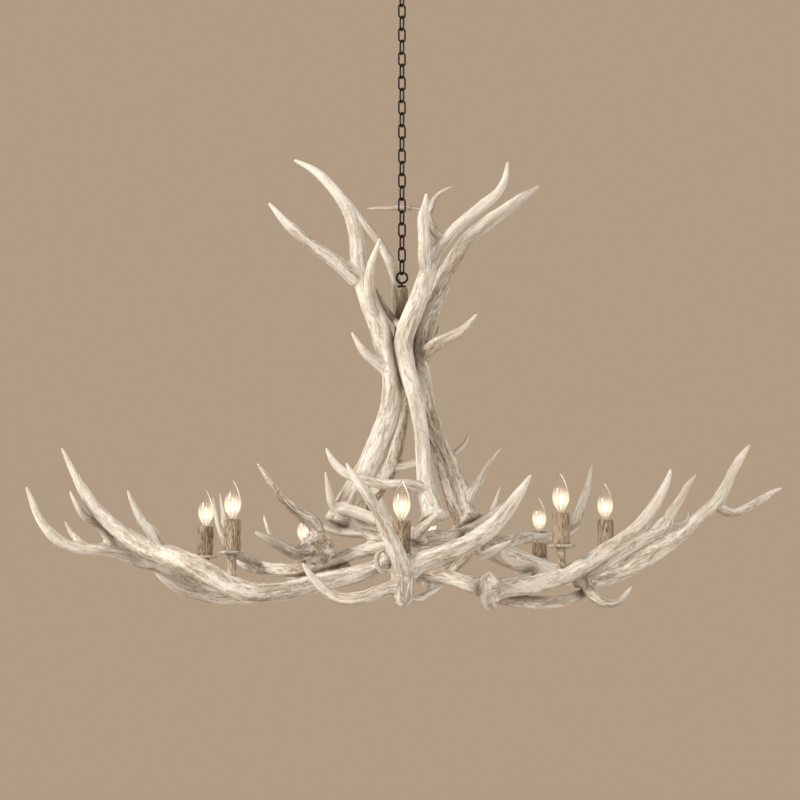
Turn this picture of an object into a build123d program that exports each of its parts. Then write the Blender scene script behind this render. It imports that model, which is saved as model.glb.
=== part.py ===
from build123d import *

import os
from math import atan2, cos, degrees, pi, radians, sin

# Antler chandelier with eight candle lights, in millimetres.
# Z is up and the origin is the middle of the canopy's rim, where it meets the ceiling.
# Cast antlers hang on a welded chain: five stand upright round a post, twelve make the ring.

# ---- ceiling set ----
CANOPY_RADIUS = 65
CANOPY_DEPTH = 32
CANOPY_WALL = 1.5
CANOPY_STEP = 8            # upright part of the canopy's rim
CANOPY_BOSS_RADIUS = 14    # flat face under the canopy, round the nipple
NIPPLE_RADIUS = 4.8
NIPPLE_BORE = 3.2
CROSSBAR_LENGTH = 102
CROSSBAR_WIDTH = 16
CROSSBAR_THICKNESS = 2.5
BOX_SCREW_SPACING = 70     # holes that take the outlet box screws
BOX_SCREW_HOLE = 4.4
LOCK_NUT_ACROSS = 8.5      # corner radius of the hexagon nut
LOCK_NUT_HEIGHT = 4
LOOP_COLLAR_RADIUS = 9
LOOP_COLLAR_HEIGHT = 12
LOOP_RADIUS = 9.5          # ring under the canopy, to the middle of its wire
LOOP_WIRE = 4.4
THREAD_REACH = 6           # how far the nipple runs into the collar

# ---- chain ----
LINK_WIRE = 3.8
LINK_WIDTH = 18.5
LINK_PITCH = 26
LINKS_IN_SEGMENT = 4
SEGMENTS = 6
LINK_GAP = 0.3             # play where two wires bear on each other
WIRE_SIDES = 5
BEND_STEPS = 4             # straight pieces in each half turn of a link

# ---- hanging eye and centre post ----
EYE_RADIUS = 11
EYE_WIRE = 4.4
EYE_NECK = 6.7
EYE_STEPS = 6              # straight pieces in half of the eye or of the canopy's loop
EYE_WASHER_RADIUS = 9
EYE_WASHER_HEIGHT = 2
EYE_SHANK_RADIUS = 2.4
EYE_SHANK_LENGTH = 30

# ---- candle lights ----
SLEEVE_RADIUS = 17
SLEEVE_BORE = 12
SLEEVE_HEIGHT = 63
SLEEVE_SIDES = 12
PAN_RADIUS = 28
PAN_FLOOR = 2
PAN_RIM_HEIGHT = 5.5
PAN_RIM_WALL = 3
PAN_SIDES = 12             # the pan's rim is cut in flats, like a burr
STEM_RADIUS = 9
STEM_REACH = 60            # longest stem, before it is coped to its antler
SOCKET_RADIUS = 9.8
SOCKET_BORE = 6.8
SOCKET_SIDES = 8
SOCKET_DROP = 3            # the socket's mouth lies this far under the sleeve's
SHANK_RADIUS = 4.8
SHANK_LENGTH = 9
CAP_RADIUS = 6
CAP_HEIGHT = 20
CAP_TIP = 1.5
BULB_RADIUS = 15.9
BULB_HEIGHT = 74           # glass above the sleeve
BULB_SIDES = 8
# Outline of the bulb's glass: share of its height, share of its radius.
BULB_PROFILE = [(0, 0.37), (0.11, 0.5), (0.3, 0.96), (0.47, 1), (0.72, 0.7), (1, 0.06)]
FIT = 0.3                  # play between parts that slide past each other

# ---- antlers ----
BEAM_SIDES = 7
TINE_SIDES = 5
BURR_LENGTH = 14
ROUND = 1.04               # corners of a flat-sided ring stand this far past its round size

# Where each light stands, and the height of its stem's top, in the ring's own frame.
LIGHTS = [
    (-400, 66, 124), (-316, -217, 121), (-216, 351, 102), (-1, -334, 111),
    (307, 376, 131), (296, -217, 133), (415, 66, 138), (64, 461, 122),
]
# Each antler is a beam and its tines. A point is x, y, height and radius there, and heights
# are above a level just under the lowest burr. A beam starts at its burr.
POST_TOP = 672
POST = [(0, 0, POST_TOP, 13), (0, 0, 646, 13.5), (0, 0, 600, 16), (0, 0, 553, 19), (0, 0, 505, 15),
        (0, 0, 469, 10)]
ANTLERS = {
    "upright_front_left": {  # front left upright, leaning in to the neck and out again to the upper left
        "burr": 26,
        "beam": [
            (-130, -33, 191, 26), (-103, -24, 239, 25), (-72, -12, 297, 24), (-48, -15, 347, 24.5),
            (-28, -25, 401, 23), (-19, -32, 456, 22), (-24, -25, 510, 22), (-35, -18, 550, 23.5),
            (-50, -20, 596, 21), (-71, -28, 644, 19), (-87, -40, 716, 18.5), (-93, -45, 770, 15.5),
            (-109, -48, 821, 13.5), (-138, -50, 864, 11.5), (-176, -48, 902, 9),
            (-219, -45, 926, 3),
        ],
        "tines": [
            [(-91, -38, 679, 16.5), (-134, -60, 713, 15.5), (-178, -80, 741, 13.5),
             (-225, -95, 778, 11), (-265, -100, 822, 3)],
            [(-54, -30, 609, 11), (-66, -62, 649, 11), (-62, -74, 702, 9), (-43, -74, 756, 2.5)],
            [(-30, -28, 495, 13), (-59, -45, 516, 11), (-81, -60, 536, 9), (-100, -72, 566, 2.5)],
        ],
    },
    "upright_front": {  # front upright, with the long tine beside the chain and a brow tine to the left
        "burr": 30,
        "beam": [
            (64, -86, 192, 23), (54, -75, 231, 21.5), (43, -57, 280, 16.5), (40, -53, 339, 15.5),
            (34, -59, 396, 16), (22, -59, 455, 17.5), (9, -47, 506, 18.5), (3, -40, 552, 20.5),
            (18, -46, 600, 20.5), (34, -54, 639, 20), (50, -62, 686, 17.5), (70, -70, 731, 14.5),
            (96, -76, 763, 13), (126, -80, 792, 13), (160, -84, 820, 12), (190, -86, 846, 10),
            (206, -86, 875, 7.5), (212, -84, 911, 2.5),
        ],
        "tines": [
            [(50, -62, 686, 14.5), (44, -84, 720, 13.5), (44, -94, 752, 13), (42, -96, 790, 12),
             (46, -94, 819, 8), (49, -92, 844, 2.5)],
            [(53, -71, 242, 14), (19, -83, 260, 13), (-27, -87, 261, 12.5), (-68, -87, 269, 11),
             (-109, -86, 283, 10.5), (-133, -86, 305, 8.5), (-149, -89, 333, 2.5)],
            [(3, -42, 576, 9), (-22, -2, 612, 7.5), (-39, -13, 637, 5.5), (-53, -20, 666, 2)],
        ],
    },
    "upright_right": {  # right upright
        "burr": 24.5,
        "beam": [
            (140, 67, 199, 15.5), (128, 71, 244, 15), (114, 70, 296, 12), (87, 48, 350, 12),
            (64, 18, 402, 13.5), (50, -1, 448, 15.5), (39, -5, 496, 19), (36, -4, 542, 21),
            (49, -6, 599, 21), (69, -10, 648, 19.5), (85, -14, 690, 18), (108, -20, 730, 16),
            (134, -26, 766, 15.5), (173, -32, 798, 15.5), (213, -38, 826, 13.5),
            (245, -42, 850, 10), (278, -44, 872, 3),
        ],
        "tines": [
            [(40, -6, 527, 15.5), (66, -36, 546, 14.5), (93, -48, 559, 12.5), (122, -56, 574, 10.5),
             (150, -60, 605, 2.5)],
            [(52, 0, 553, 9), (71, 24, 575, 6.5), (75, 32, 600, 2)],
            [(134, 71, 235, 15), (156, 57, 278, 11), (174, 43, 310, 7.5), (201, 27, 345, 2)],
            [(93, 59, 328, 10), (111, 68, 341, 8), (131, 69, 361, 5.5), (136, 61, 381, 2)],
        ],
    },
    "upright_back_left": {  # back left upright, forked at the top behind the chain
        "burr": 25.5,
        "beam": [
            (-89, 162, 219, 19.5), (-68, 157, 251, 18.5), (-37, 143, 293, 17.5),
            (-16, 119, 334, 16), (-4, 83, 382, 14.5), (6, 45, 440, 14.5), (14, 27, 501, 14.5),
            (22, 22, 557, 14.5), (37, 31, 631, 13.5), (58, 46, 708, 12.5), (81, 60, 779, 11),
            (65, 68, 811, 10), (56, 74, 842, 9),
        ],
        "tines": [
            [(56, 74, 842, 8.5), (68, 80, 878, 7), (89, 84, 897, 5), (109, 86, 907, 2)],
            [(56, 74, 842, 8.5), (34, 78, 853, 8), (4, 82, 859, 7), (-37, 86, 860, 5),
             (-74, 88, 860, 2)],
        ],
    },
    "upright_back_right": {  # back right upright, crossing to the left behind the neck
        "burr": 25.5,
        "beam": [
            (131, 172, 190, 18.5), (114, 170, 233, 17.5), (93, 158, 298, 16.5), (71, 124, 358, 15),
            (47, 85, 414, 14), (27, 59, 469, 13.5), (12, 52, 510, 13.5), (-1, 45, 561, 12.5),
            (-10, 46, 644, 12), (-12, 50, 691, 11.5), (-29, 58, 746, 11), (-53, 66, 789, 10),
            (-82, 72, 829, 8), (-105, 76, 862, 6), (-120, 78, 884, 2),
        ],
        "tines": [
        ],
    },
    "ring_centre": {  # short antler under the front and right uprights
        "burr": 24,
        "beam": [
            (19, 6, 160, 17.5), (47, -5, 162, 16.5), (94, 16, 166, 14.5), (133, 40, 178, 14),
            (173, 49, 203, 13), (207, 50, 228, 9), (231, 49, 247, 3),
        ],
        "tines": [
            [(41, -10, 162, 14.5), (32, -83, 168, 13.5), (49, -123, 184, 11), (66, -139, 198, 6)],
        ],
    },
    "ring_back": {  # back beam, which carries the back light
        "burr": 25.5,
        "beam": [
            (135, 146, 165, 18.5), (116, 194, 149, 17.5), (93, 266, 129, 18), (75, 336, 109, 18.5),
            (67, 406, 94, 18), (64, 461, 86, 18.5), (51, 494, 103, 15), (14, 512, 156, 12),
            (-27, 521, 226, 10), (-53, 523, 289, 7.5), (-67, 506, 345, 2.5),
        ],
        "tines": [
            [(66, 458, 88, 13.5), (122, 486, 118, 12.5), (167, 502, 165, 10.5), (198, 511, 223, 8),
             (215, 516, 265, 6.5), (230, 512, 306, 2.5)],
            [(110, 204, 147, 16.5), (57, 186, 145, 15.5), (-3, 173, 152, 14.5), (-56, 165, 175, 13),
             (-98, 160, 209, 9), (-123, 158, 241, 2.5)],
        ],
    },
    "ring_front": {  # front beam, ending in a crown of four tines
        "burr": 24,
        "beam": [
            (14, -34, 137, 20), (3, -119, 113, 19), (-2, -204, 95, 18.5), (-3, -284, 90, 19),
            (1, -359, 81, 20.5), (3, -386, 58, 21), (2, -396, 36, 16.5),
        ],
        "tines": [
            [(1, -374, 77, 17.5), (-4, -400, 100, 16.5), (-12, -408, 122, 15), (-28, -412, 154, 13.5),
             (-44, -414, 188, 12), (-64, -412, 221, 10), (-84, -408, 249, 7.5), (-99, -404, 274, 2)],
            [(1, -374, 77, 18.5), (29, -386, 98, 18.5), (58, -390, 110, 17), (93, -390, 122, 17),
             (128, -388, 140, 16.5), (158, -384, 162, 15.5), (183, -380, 189, 14),
             (209, -374, 225, 10), (229, -370, 256, 2)],
            [(-2, -384, 60, 16.5), (-28, -396, 53, 13.5), (-52, -402, 44, 13), (-83, -402, 36, 13),
             (-113, -396, 39, 12), (-137, -388, 54, 10), (-160, -380, 77, 7.5), (-176, -374, 100, 2)],
            [(3, -390, 48, 14.5), (16, -380, 37, 9), (33, -370, 38, 8), (54, -358, 50, 6.5),
             (72, -348, 61, 1.5)],
        ],
    },
    "ring_left_front": {  # long front left beam
        "burr": 20.5,
        "beam": [
            (-28, -186, 107, 16.5), (-47, -190, 98, 15.5), (-87, -196, 84, 17.5),
            (-154, -206, 69, 18), (-219, -214, 53, 18.5), (-276, -218, 51, 19.5),
            (-315, -217, 62, 20.5), (-348, -212, 79, 22.5), (-383, -202, 98, 22.5),
            (-440, -182, 121, 21), (-496, -159, 141, 18), (-541, -139, 171, 17),
            (-584, -124, 205, 14.5), (-607, -116, 236, 13), (-626, -112, 264, 9.5),
            (-643, -113, 297, 6.5), (-659, -120, 330, 2.5),
        ],
        "tines": [
            [(-450, -177, 127, 12.5), (-469, -196, 163, 12), (-487, -206, 185, 9.5),
             (-502, -214, 214, 6.5), (-513, -218, 241, 2)],
        ],
    },
    "ring_back_left": {  # back left beam, whose brow tine the front left upright stands on
        "burr": 23.5,
        "beam": [
            (-14, -84, 142, 15), (-34, -80, 142, 14), (-66, -72, 136, 14), (-111, -60, 124, 14),
            (-146, -42, 114, 14.5), (-183, -4, 101, 14.5), (-247, 61, 100, 14.5),
            (-298, 126, 108, 15), (-331, 196, 121, 15.5), (-353, 256, 137, 14.5),
            (-373, 301, 160, 12), (-387, 328, 197, 10), (-396, 342, 242, 6.5), (-404, 349, 279, 2),
        ],
        "tines": [
            [(-373, 301, 160, 10.5), (-391, 291, 186, 9), (-403, 284, 222, 6.5), (-411, 280, 265, 2)],
            [(-298, 126, 108, 14), (-306, 76, 117, 12), (-327, 36, 128, 10), (-347, 6, 143, 7),
             (-363, -14, 167, 2)],
            [(-20, -84, 144, 13), (-36, -78, 157, 11.5), (-67, -67, 167, 11), (-105, -53, 170, 11),
             (-131, -43, 174, 9.5), (-153, -38, 181, 6.5)],
        ],
    },
    "ring_left": {  # long left beam with its low blade tine
        "burr": 21.5,
        "beam": [
            (-106, -46, 94, 19), (-146, -30, 84, 18), (-202, -4, 66, 17.5), (-260, 21, 55, 16.5),
            (-306, 41, 50, 17), (-368, 62, 60, 17), (-409, 62, 75, 17), (-442, 36, 87, 16),
            (-478, -12, 106, 16), (-513, -59, 114, 14), (-542, -92, 127, 14), (-572, -108, 134, 13),
            (-605, -116, 135, 12), (-638, -120, 140, 12), (-664, -124, 155, 12),
            (-685, -128, 177, 10.5), (-701, -130, 203, 8.5), (-712, -132, 230, 6),
            (-722, -134, 254, 2.5),
        ],
        "tines": [
            [(-301, 40, 48, 16.5), (-361, 4, 43, 14.5), (-392, -18, 48, 12.5), (-430, -44, 58, 10),
             (-461, -62, 75, 7), (-482, -72, 94, 2)],
            [(-550, -94, 129, 13), (-563, -108, 154, 12), (-583, -118, 179, 10),
             (-609, -130, 197, 8.5), (-623, -138, 218, 6), (-636, -142, 244, 2.5)],
            [(-605, -116, 137, 8.5), (-630, -102, 157, 7), (-643, -96, 171, 5), (-655, -92, 191, 2)],
        ],
    },
    "ring_mid_left": {  # left antler with its burr towards the front
        "burr": 31.5,
        "beam": [
            (-163, -119, 135, 22.5), (-162, -94, 140, 21.5), (-169, -46, 139, 19.5),
            (-187, 26, 133, 19), (-205, 126, 115, 18.5), (-211, 226, 91, 17.5), (-213, 306, 73, 18),
            (-216, 356, 72, 17), (-232, 396, 85, 15), (-257, 422, 107, 11), (-275, 434, 130, 3),
        ],
        "tines": [
            [(-162, -94, 142, 16), (-167, -109, 180, 15.5), (-194, -124, 201, 13),
             (-221, -136, 222, 11), (-241, -146, 245, 8.5), (-259, -154, 272, 6),
             (-276, -163, 296, 2)],
            [(-162, -99, 140, 17), (-198, -130, 126, 14.5), (-230, -144, 139, 12),
             (-258, -154, 154, 8), (-279, -160, 165, 3)],
            [(-230, -144, 139, 8), (-250, -140, 162, 6), (-258, -140, 180, 5), (-265, -140, 199, 2)],
        ],
    },
    "ring_low_right": {  # lowest beam on the right
        "burr": 17.5,
        "beam": [
            (20, -165, 87, 16.5), (49, -174, 84, 15.5), (97, -190, 76, 14.5), (140, -224, 58, 14),
            (191, -230, 38, 13.5), (256, -206, 33, 13.5), (311, -183, 38, 12.5), (347, -168, 54, 9),
            (367, -157, 69, 3),
        ],
        "tines": [
            [(97, -190, 76, 12.5), (157, -124, 71, 12), (205, -64, 74, 10), (240, -22, 82, 7.5),
             (260, 0, 97, 2.5)],
        ],
    },
    "ring_right_front": {  # front right beam
        "burr": 33,
        "beam": [
            (155, -269, 52, 23.5), (166, -264, 53, 22), (189, -256, 58, 18), (230, -240, 62, 17.5),
            (270, -225, 72, 17.5), (310, -212, 86, 17.5), (351, -204, 107, 17),
            (380, -199, 128, 16), (412, -194, 147, 15.5), (448, -188, 176, 15),
            (473, -182, 209, 13), (491, -178, 238, 10), (502, -176, 259, 7.5),
            (510, -175, 284, 2.5),
        ],
        "tines": [
        ],
    },
    "ring_right": {  # long right beam with its forked end
        "burr": 22,
        "beam": [
            (125, 9, 155, 22), (162, 4, 145, 21), (204, 7, 128, 22), (252, 16, 111, 22),
            (297, 28, 95, 21), (349, 46, 82, 19), (403, 62, 85, 19), (448, 72, 99, 20),
            (506, 80, 132, 20.5), (565, 86, 169, 16.5), (595, 88, 194, 15), (625, 90, 221, 14.5),
            (651, 92, 245, 14.5), (668, 94, 273, 11.5), (683, 89, 305, 10), (699, 79, 333, 8.5),
            (715, 69, 357, 2.5),
        ],
        "tines": [
            [(642, 91, 235, 14), (679, 100, 218, 11), (710, 106, 228, 10), (747, 112, 249, 9),
             (771, 116, 264, 5.5), (790, 118, 272, 2)],
            [(162, 4, 145, 15.5), (159, -31, 126, 10.5), (188, -54, 139, 9.5), (215, -69, 154, 2.5)],
        ],
    },
    "ring_mid_right": {  # right antler between the two long beams, with a hooked brow tine
        "burr": 20.5,
        "beam": [
            (319, -178, 80, 17.5), (345, -172, 88, 16.5), (381, -165, 106, 14.5),
            (413, -154, 126, 14), (439, -148, 139, 13.5), (473, -140, 157, 13.5),
            (501, -134, 173, 13.5), (516, -128, 203, 10.5), (538, -122, 234, 8.5),
            (552, -118, 259, 6), (570, -115, 279, 2),
        ],
        "tines": [
            [(342, -168, 86, 14.5), (348, -188, 58, 13), (361, -200, 40, 11), (378, -206, 31, 10),
             (397, -209, 32, 9), (412, -211, 44, 7), (426, -210, 61, 2.5)],
            [(497, -136, 171, 10.5), (525, -126, 175, 9), (546, -120, 187, 6.5), (551, -118, 208, 2)],
            [(473, -140, 157, 8), (487, -142, 180, 6), (500, -144, 195, 2)],
        ],
    },
    "ring_back_right": {  # back right beam and its low tine under the back right light
        "burr": 23,
        "beam": [
            (168, 136, 161, 15), (194, 161, 163, 14), (227, 197, 165, 13.5), (269, 251, 176, 13.5),
            (319, 302, 177, 13), (352, 324, 188, 14), (379, 336, 206, 14), (392, 342, 232, 12.5),
            (403, 344, 264, 11.5), (412, 343, 294, 9), (421, 329, 342, 2),
        ],
        "tines": [
            [(227, 197, 165, 9), (241, 176, 175, 7), (250, 166, 192, 2)],
            [(202, 169, 163, 14), (231, 229, 130, 13.5), (267, 304, 103, 14), (301, 368, 91, 14.5),
             (334, 401, 95, 11), (368, 419, 114, 3)],
        ],
    },
}

# ---- heights that follow from the sizes above ----
LOOP_BAR_Z = -(CANOPY_DEPTH + LOOP_COLLAR_HEIGHT + 2 * LOOP_RADIUS)
LINK_BAR_LENGTH = LINK_PITCH + LINK_WIRE + LINK_GAP
FIRST_BAR_Z = LOOP_BAR_Z + (LOOP_WIRE + LINK_WIRE) / 2 + LINK_GAP
LINK_COUNT = SEGMENTS * LINKS_IN_SEGMENT
LAST_BAR_Z = FIRST_BAR_Z - (LINK_COUNT - 1) * LINK_PITCH - LINK_BAR_LENGTH
EYE_TOP_Z = LAST_BAR_Z + (LINK_WIRE + EYE_WIRE) / 2 + LINK_GAP
EYE_BOTTOM_Z = EYE_TOP_Z - 2 * EYE_RADIUS
FRAME_Z = EYE_BOTTOM_Z - EYE_NECK - EYE_WASHER_HEIGHT - POST_TOP
SOCKET_DEPTH = CAP_HEIGHT + CAP_TIP + FIT

os.makedirs("parts", exist_ok=True)


def save(part, name):
    """Label a finished piece and write it under its own name."""
    part.label = name
    export_step(part, f"parts/{name}.step")
    return part


def largest(part):
    """The main solid of a piece, without crumbs that coping leaves."""
    return part.solids().sort_by(SortBy.VOLUME)[-1]


def cope(box, neighbours):
    """Cut the piece being built where it would run into neighbours that share its box."""
    for neighbour in neighbours:
        if box.overlaps(neighbour.bounding_box()):
            add(neighbour, mode=Mode.SUBTRACT)


def ring_planes(points):
    """A plane square to the route at each point, turned as little as possible on the way."""
    spots = [Vector(x, y, FRAME_Z + z) for x, y, z, _ in points]
    last = len(spots) - 1
    side = None
    planes = []
    for index, spot in enumerate(spots):
        ahead = (spots[min(index + 1, last)] - spots[max(index - 1, 0)]).normalized()
        if side is None:
            side = Vector(0, 1, 0) if abs(ahead.Y) < abs(ahead.X) + abs(ahead.Z) else Vector(0, 0, 1)
        side = (side - ahead * side.dot(ahead)).normalized()
        planes.append(Plane(origin=spot, x_dir=side, z_dir=ahead))
    return planes


def grow(points, sides):
    """Loft a beam or a tine through a flat-sided ring at each point of its route."""
    rings = []
    for plane, point in zip(ring_planes(points), points):
        with BuildSketch(plane) as ring:
            RegularPolygon(radius=point[3] * ROUND, side_count=sides)
        rings.append(ring.sketch)
    loft(rings, ruled=True)


def grow_burr(points, radius):
    """Loft the burr, the flared crown of bone at the root of a beam."""
    root = ring_planes(points)[0]
    rings = []
    for share, width in ((-0.3, 0.72), (0.0, 0.96), (0.4, 1.0), (1.0, 0.7)):
        with BuildSketch(root.offset(share * BURR_LENGTH)) as ring:
            RegularPolygon(radius=radius * width * ROUND, side_count=BEAM_SIDES, rotation=180 / BEAM_SIDES)
        rings.append(ring.sketch)
    loft(rings, ruled=True)


# ---- centre post: its top takes the eye's shank ----
with BuildPart() as centre_post:
    grow(POST, BEAM_SIDES)
    with BuildSketch(Plane.XY.offset(FRAME_Z + POST_TOP)):
        Circle(EYE_SHANK_RADIUS)
    extrude(amount=-EYE_SHANK_LENGTH, mode=Mode.SUBTRACT)
post_solid = save(centre_post.part, "centre_post")

# ---- antlers, each coped round the ones already in place ----
placed = {"centre_post": post_solid}
for antler_name, form in ANTLERS.items():
    with BuildPart() as antler:
        grow(form["beam"], BEAM_SIDES)
        grow_burr(form["beam"], form["burr"])
        for tine in form["tines"]:
            grow(tine, TINE_SIDES)
    antler_box = antler.part.bounding_box()
    with BuildPart() as coped:
        add(antler.part)
        cope(antler_box, placed.values())
    placed[antler_name] = save(largest(coped.part), antler_name)

# ---- candle lights ----
stems = []
pans = []
sockets = []
for number, (x, y, height) in enumerate(LIGHTS, start=1):
    pan_z = FRAME_Z + height
    mouth_z = pan_z + PAN_FLOOR + SLEEVE_HEIGHT
    spot = Plane((x, y, 0))

    with BuildPart() as sleeve:
        with BuildSketch(spot.offset(mouth_z)):
            RegularPolygon(radius=SLEEVE_RADIUS, side_count=SLEEVE_SIDES)
            RegularPolygon(radius=SLEEVE_BORE, side_count=SLEEVE_SIDES, mode=Mode.SUBTRACT)
        extrude(amount=-SLEEVE_HEIGHT)
    save(sleeve.part, f"candle_sleeve_{number}")

    with BuildPart() as pan:
        with BuildSketch(spot.offset(pan_z)):
            RegularPolygon(radius=PAN_RADIUS, side_count=PAN_SIDES)
            RegularPolygon(radius=SHANK_RADIUS, side_count=SOCKET_SIDES, mode=Mode.SUBTRACT)
        extrude(amount=PAN_FLOOR)
        with BuildSketch(spot.offset(pan_z + PAN_FLOOR)):
            RegularPolygon(radius=PAN_RADIUS, side_count=PAN_SIDES)
            RegularPolygon(radius=PAN_RADIUS - PAN_RIM_WALL, side_count=PAN_SIDES, mode=Mode.SUBTRACT)
        extrude(amount=PAN_RIM_HEIGHT - PAN_FLOOR)
    pans.append(pan.part)

    with BuildPart() as socket:
        with BuildSketch(spot.offset(mouth_z - SOCKET_DROP)):
            RegularPolygon(radius=SOCKET_RADIUS, side_count=SOCKET_SIDES)
        extrude(amount=-(SLEEVE_HEIGHT - SOCKET_DROP))
        with BuildSketch(spot.offset(mouth_z - SOCKET_DROP)):
            RegularPolygon(radius=SOCKET_BORE, side_count=SOCKET_SIDES)
        extrude(amount=-SOCKET_DEPTH, mode=Mode.SUBTRACT)
        with BuildSketch(spot.offset(pan_z + PAN_FLOOR)):
            RegularPolygon(radius=SHANK_RADIUS, side_count=SOCKET_SIDES)
        extrude(amount=-(PAN_FLOOR + SHANK_LENGTH))
        cope(socket.part.bounding_box(), placed.values())
    sockets.append(socket.part)

    with BuildPart() as stem:
        with BuildSketch(spot.offset(pan_z)):
            RegularPolygon(radius=STEM_RADIUS, side_count=SOCKET_SIDES)
        extrude(amount=-STEM_REACH)
        cope(stem.part.bounding_box(), placed.values())
        with BuildSketch(spot.offset(pan_z)):
            RegularPolygon(radius=SHANK_RADIUS, side_count=SOCKET_SIDES)
        extrude(amount=-SHANK_LENGTH, mode=Mode.SUBTRACT)
    stems.append(stem.part.solids().sort_by(Axis.Z)[-1])

    cap_top = mouth_z - SOCKET_DROP
    with BuildPart() as cap:
        with BuildSketch(spot.offset(cap_top)):
            RegularPolygon(radius=CAP_RADIUS, side_count=BULB_SIDES)
        extrude(amount=-CAP_HEIGHT)
        with BuildSketch(spot.offset(cap_top - CAP_HEIGHT)):
            RegularPolygon(radius=CAP_RADIUS / 2, side_count=WIRE_SIDES)
        extrude(amount=-CAP_TIP)
    save(cap.part, f"bulb_cap_{number}")

    with BuildPart() as bulb:
        for lower, upper in zip(BULB_PROFILE, BULB_PROFILE[1:]):
            wide = max(lower, upper, key=lambda level: level[1])
            rise = (upper[0] - lower[0]) * (BULB_HEIGHT + SOCKET_DROP)
            inset = abs(upper[1] - lower[1]) * BULB_RADIUS * cos(pi / BULB_SIDES)
            level = Plane.XY.offset(cap_top + wide[0] * (BULB_HEIGHT + SOCKET_DROP))
            with BuildSketch(spot.offset(level.origin.Z)):
                RegularPolygon(radius=BULB_RADIUS * wide[1], side_count=BULB_SIDES)
            band = extrude(amount=rise, taper=degrees(atan2(inset, rise)), mode=Mode.PRIVATE)
            if wide is upper:
                band = mirror(band, about=level, mode=Mode.PRIVATE)
            add(band)
    save(bulb.part, f"bulb_glass_{number}")

save(Compound(pans), "drip_pans")
save(Compound(sockets), "candle_sockets")
save(Compound(stems), "candle_stems")

# ---- chain: every other link is turned a quarter ----


def wire_loop(bend, top_bar_z, bar_length, steps, plane, wire):
    """Sweep a flat-sided wire round the top half of an upright loop, and mirror it below."""
    turn = 180 / steps
    corner_radius = bend / cos(radians(turn / 2))
    angles = [radians(turn * (step + 0.5)) for step in range(steps)]
    corners = [(corner_radius * cos(angle), top_bar_z - bend + corner_radius * sin(angle)) for angle in angles]
    middle_z = top_bar_z - bar_length / 2
    with BuildLine(plane) as path:
        Polyline((bend, middle_z), *corners, (-bend, middle_z))
    with BuildSketch(Plane(origin=path.line @ 0, x_dir=plane.z_dir, z_dir=path.line % 0)) as section:
        RegularPolygon(radius=wire / 2 * ROUND, side_count=WIRE_SIDES)
    sweep(section.sketch, path=path.line, transition=Transition.RIGHT)
    mirror(about=Plane.XY.offset(middle_z))


for segment in range(SEGMENTS):
    links = []
    for place in range(LINKS_IN_SEGMENT):
        count = segment * LINKS_IN_SEGMENT + place
        with BuildPart() as link:
            wire_loop(
                (LINK_WIDTH - LINK_WIRE) / 2, FIRST_BAR_Z - count * LINK_PITCH, LINK_BAR_LENGTH, BEND_STEPS,
                Plane.YZ if count % 2 else Plane.XZ, LINK_WIRE,
            )
        links.append(link.part)
    save(Compound(links), f"chain_{segment + 1}")

# ---- hanging eye, screwed into the top of the centre post ----
with BuildPart() as hanging_eye:
    wire_loop(EYE_RADIUS, EYE_TOP_Z, 2 * EYE_RADIUS, EYE_STEPS, Plane.XZ, EYE_WIRE)
    with BuildSketch(Plane.XY.offset(EYE_BOTTOM_Z)):
        RegularPolygon(radius=EYE_SHANK_RADIUS, side_count=WIRE_SIDES)
    extrude(amount=-(EYE_NECK + EYE_WASHER_HEIGHT + EYE_SHANK_LENGTH))
    with BuildSketch(Plane.XY.offset(EYE_BOTTOM_Z - EYE_NECK)):
        RegularPolygon(radius=EYE_WASHER_RADIUS, side_count=2 * EYE_STEPS)
    extrude(amount=-EYE_WASHER_HEIGHT)
save(hanging_eye.part, "hanging_eye")

# ---- ceiling set ----
with BuildPart() as crossbar:
    with BuildSketch(Plane.XY):
        Rectangle(CROSSBAR_LENGTH, CROSSBAR_WIDTH)
        Circle(NIPPLE_RADIUS, mode=Mode.SUBTRACT)
        with GridLocations(BOX_SCREW_SPACING, 0, 2, 1):
            Circle(BOX_SCREW_HOLE / 2, mode=Mode.SUBTRACT)
    extrude(amount=-CROSSBAR_THICKNESS)
save(crossbar.part, "crossbar")

with BuildPart() as nipple:
    with BuildSketch(Plane.XY):
        Circle(NIPPLE_RADIUS)
        Circle(NIPPLE_BORE, mode=Mode.SUBTRACT)
    extrude(amount=-(CANOPY_DEPTH + THREAD_REACH))
save(nipple.part, "nipple")

with BuildPart() as lock_nut:
    with BuildSketch(Plane.XY.offset(-CROSSBAR_THICKNESS)):
        RegularPolygon(radius=LOCK_NUT_ACROSS, side_count=6)
        Circle(NIPPLE_RADIUS, mode=Mode.SUBTRACT)
    extrude(amount=-LOCK_NUT_HEIGHT)
save(lock_nut.part, "lock_nut")

# A bell of even wall: an upright rim, a domed shoulder and a flat boss round the nipple.
with BuildPart() as canopy:
    for skin, mode in ((0, Mode.ADD), (CANOPY_WALL, Mode.SUBTRACT)):
        rim = CANOPY_RADIUS - skin
        floor_z = skin - CANOPY_DEPTH
        with BuildSketch(Plane.XZ):
            with BuildLine():
                Polyline(
                    (0, 0), (rim, 0), (rim, -CANOPY_STEP),
                    (rim - (rim - CANOPY_BOSS_RADIUS) * 0.4, -CANOPY_STEP + (floor_z + CANOPY_STEP) * 0.7),
                    (CANOPY_BOSS_RADIUS, floor_z), (0, floor_z), close=True,
                )
            make_face()
        revolve(axis=Axis.Z, mode=mode)
    with BuildSketch(Plane.XY.offset(-CANOPY_DEPTH)):
        Circle(NIPPLE_RADIUS + FIT)
    extrude(amount=CANOPY_DEPTH, mode=Mode.SUBTRACT)
save(canopy.part, "canopy")

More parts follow.
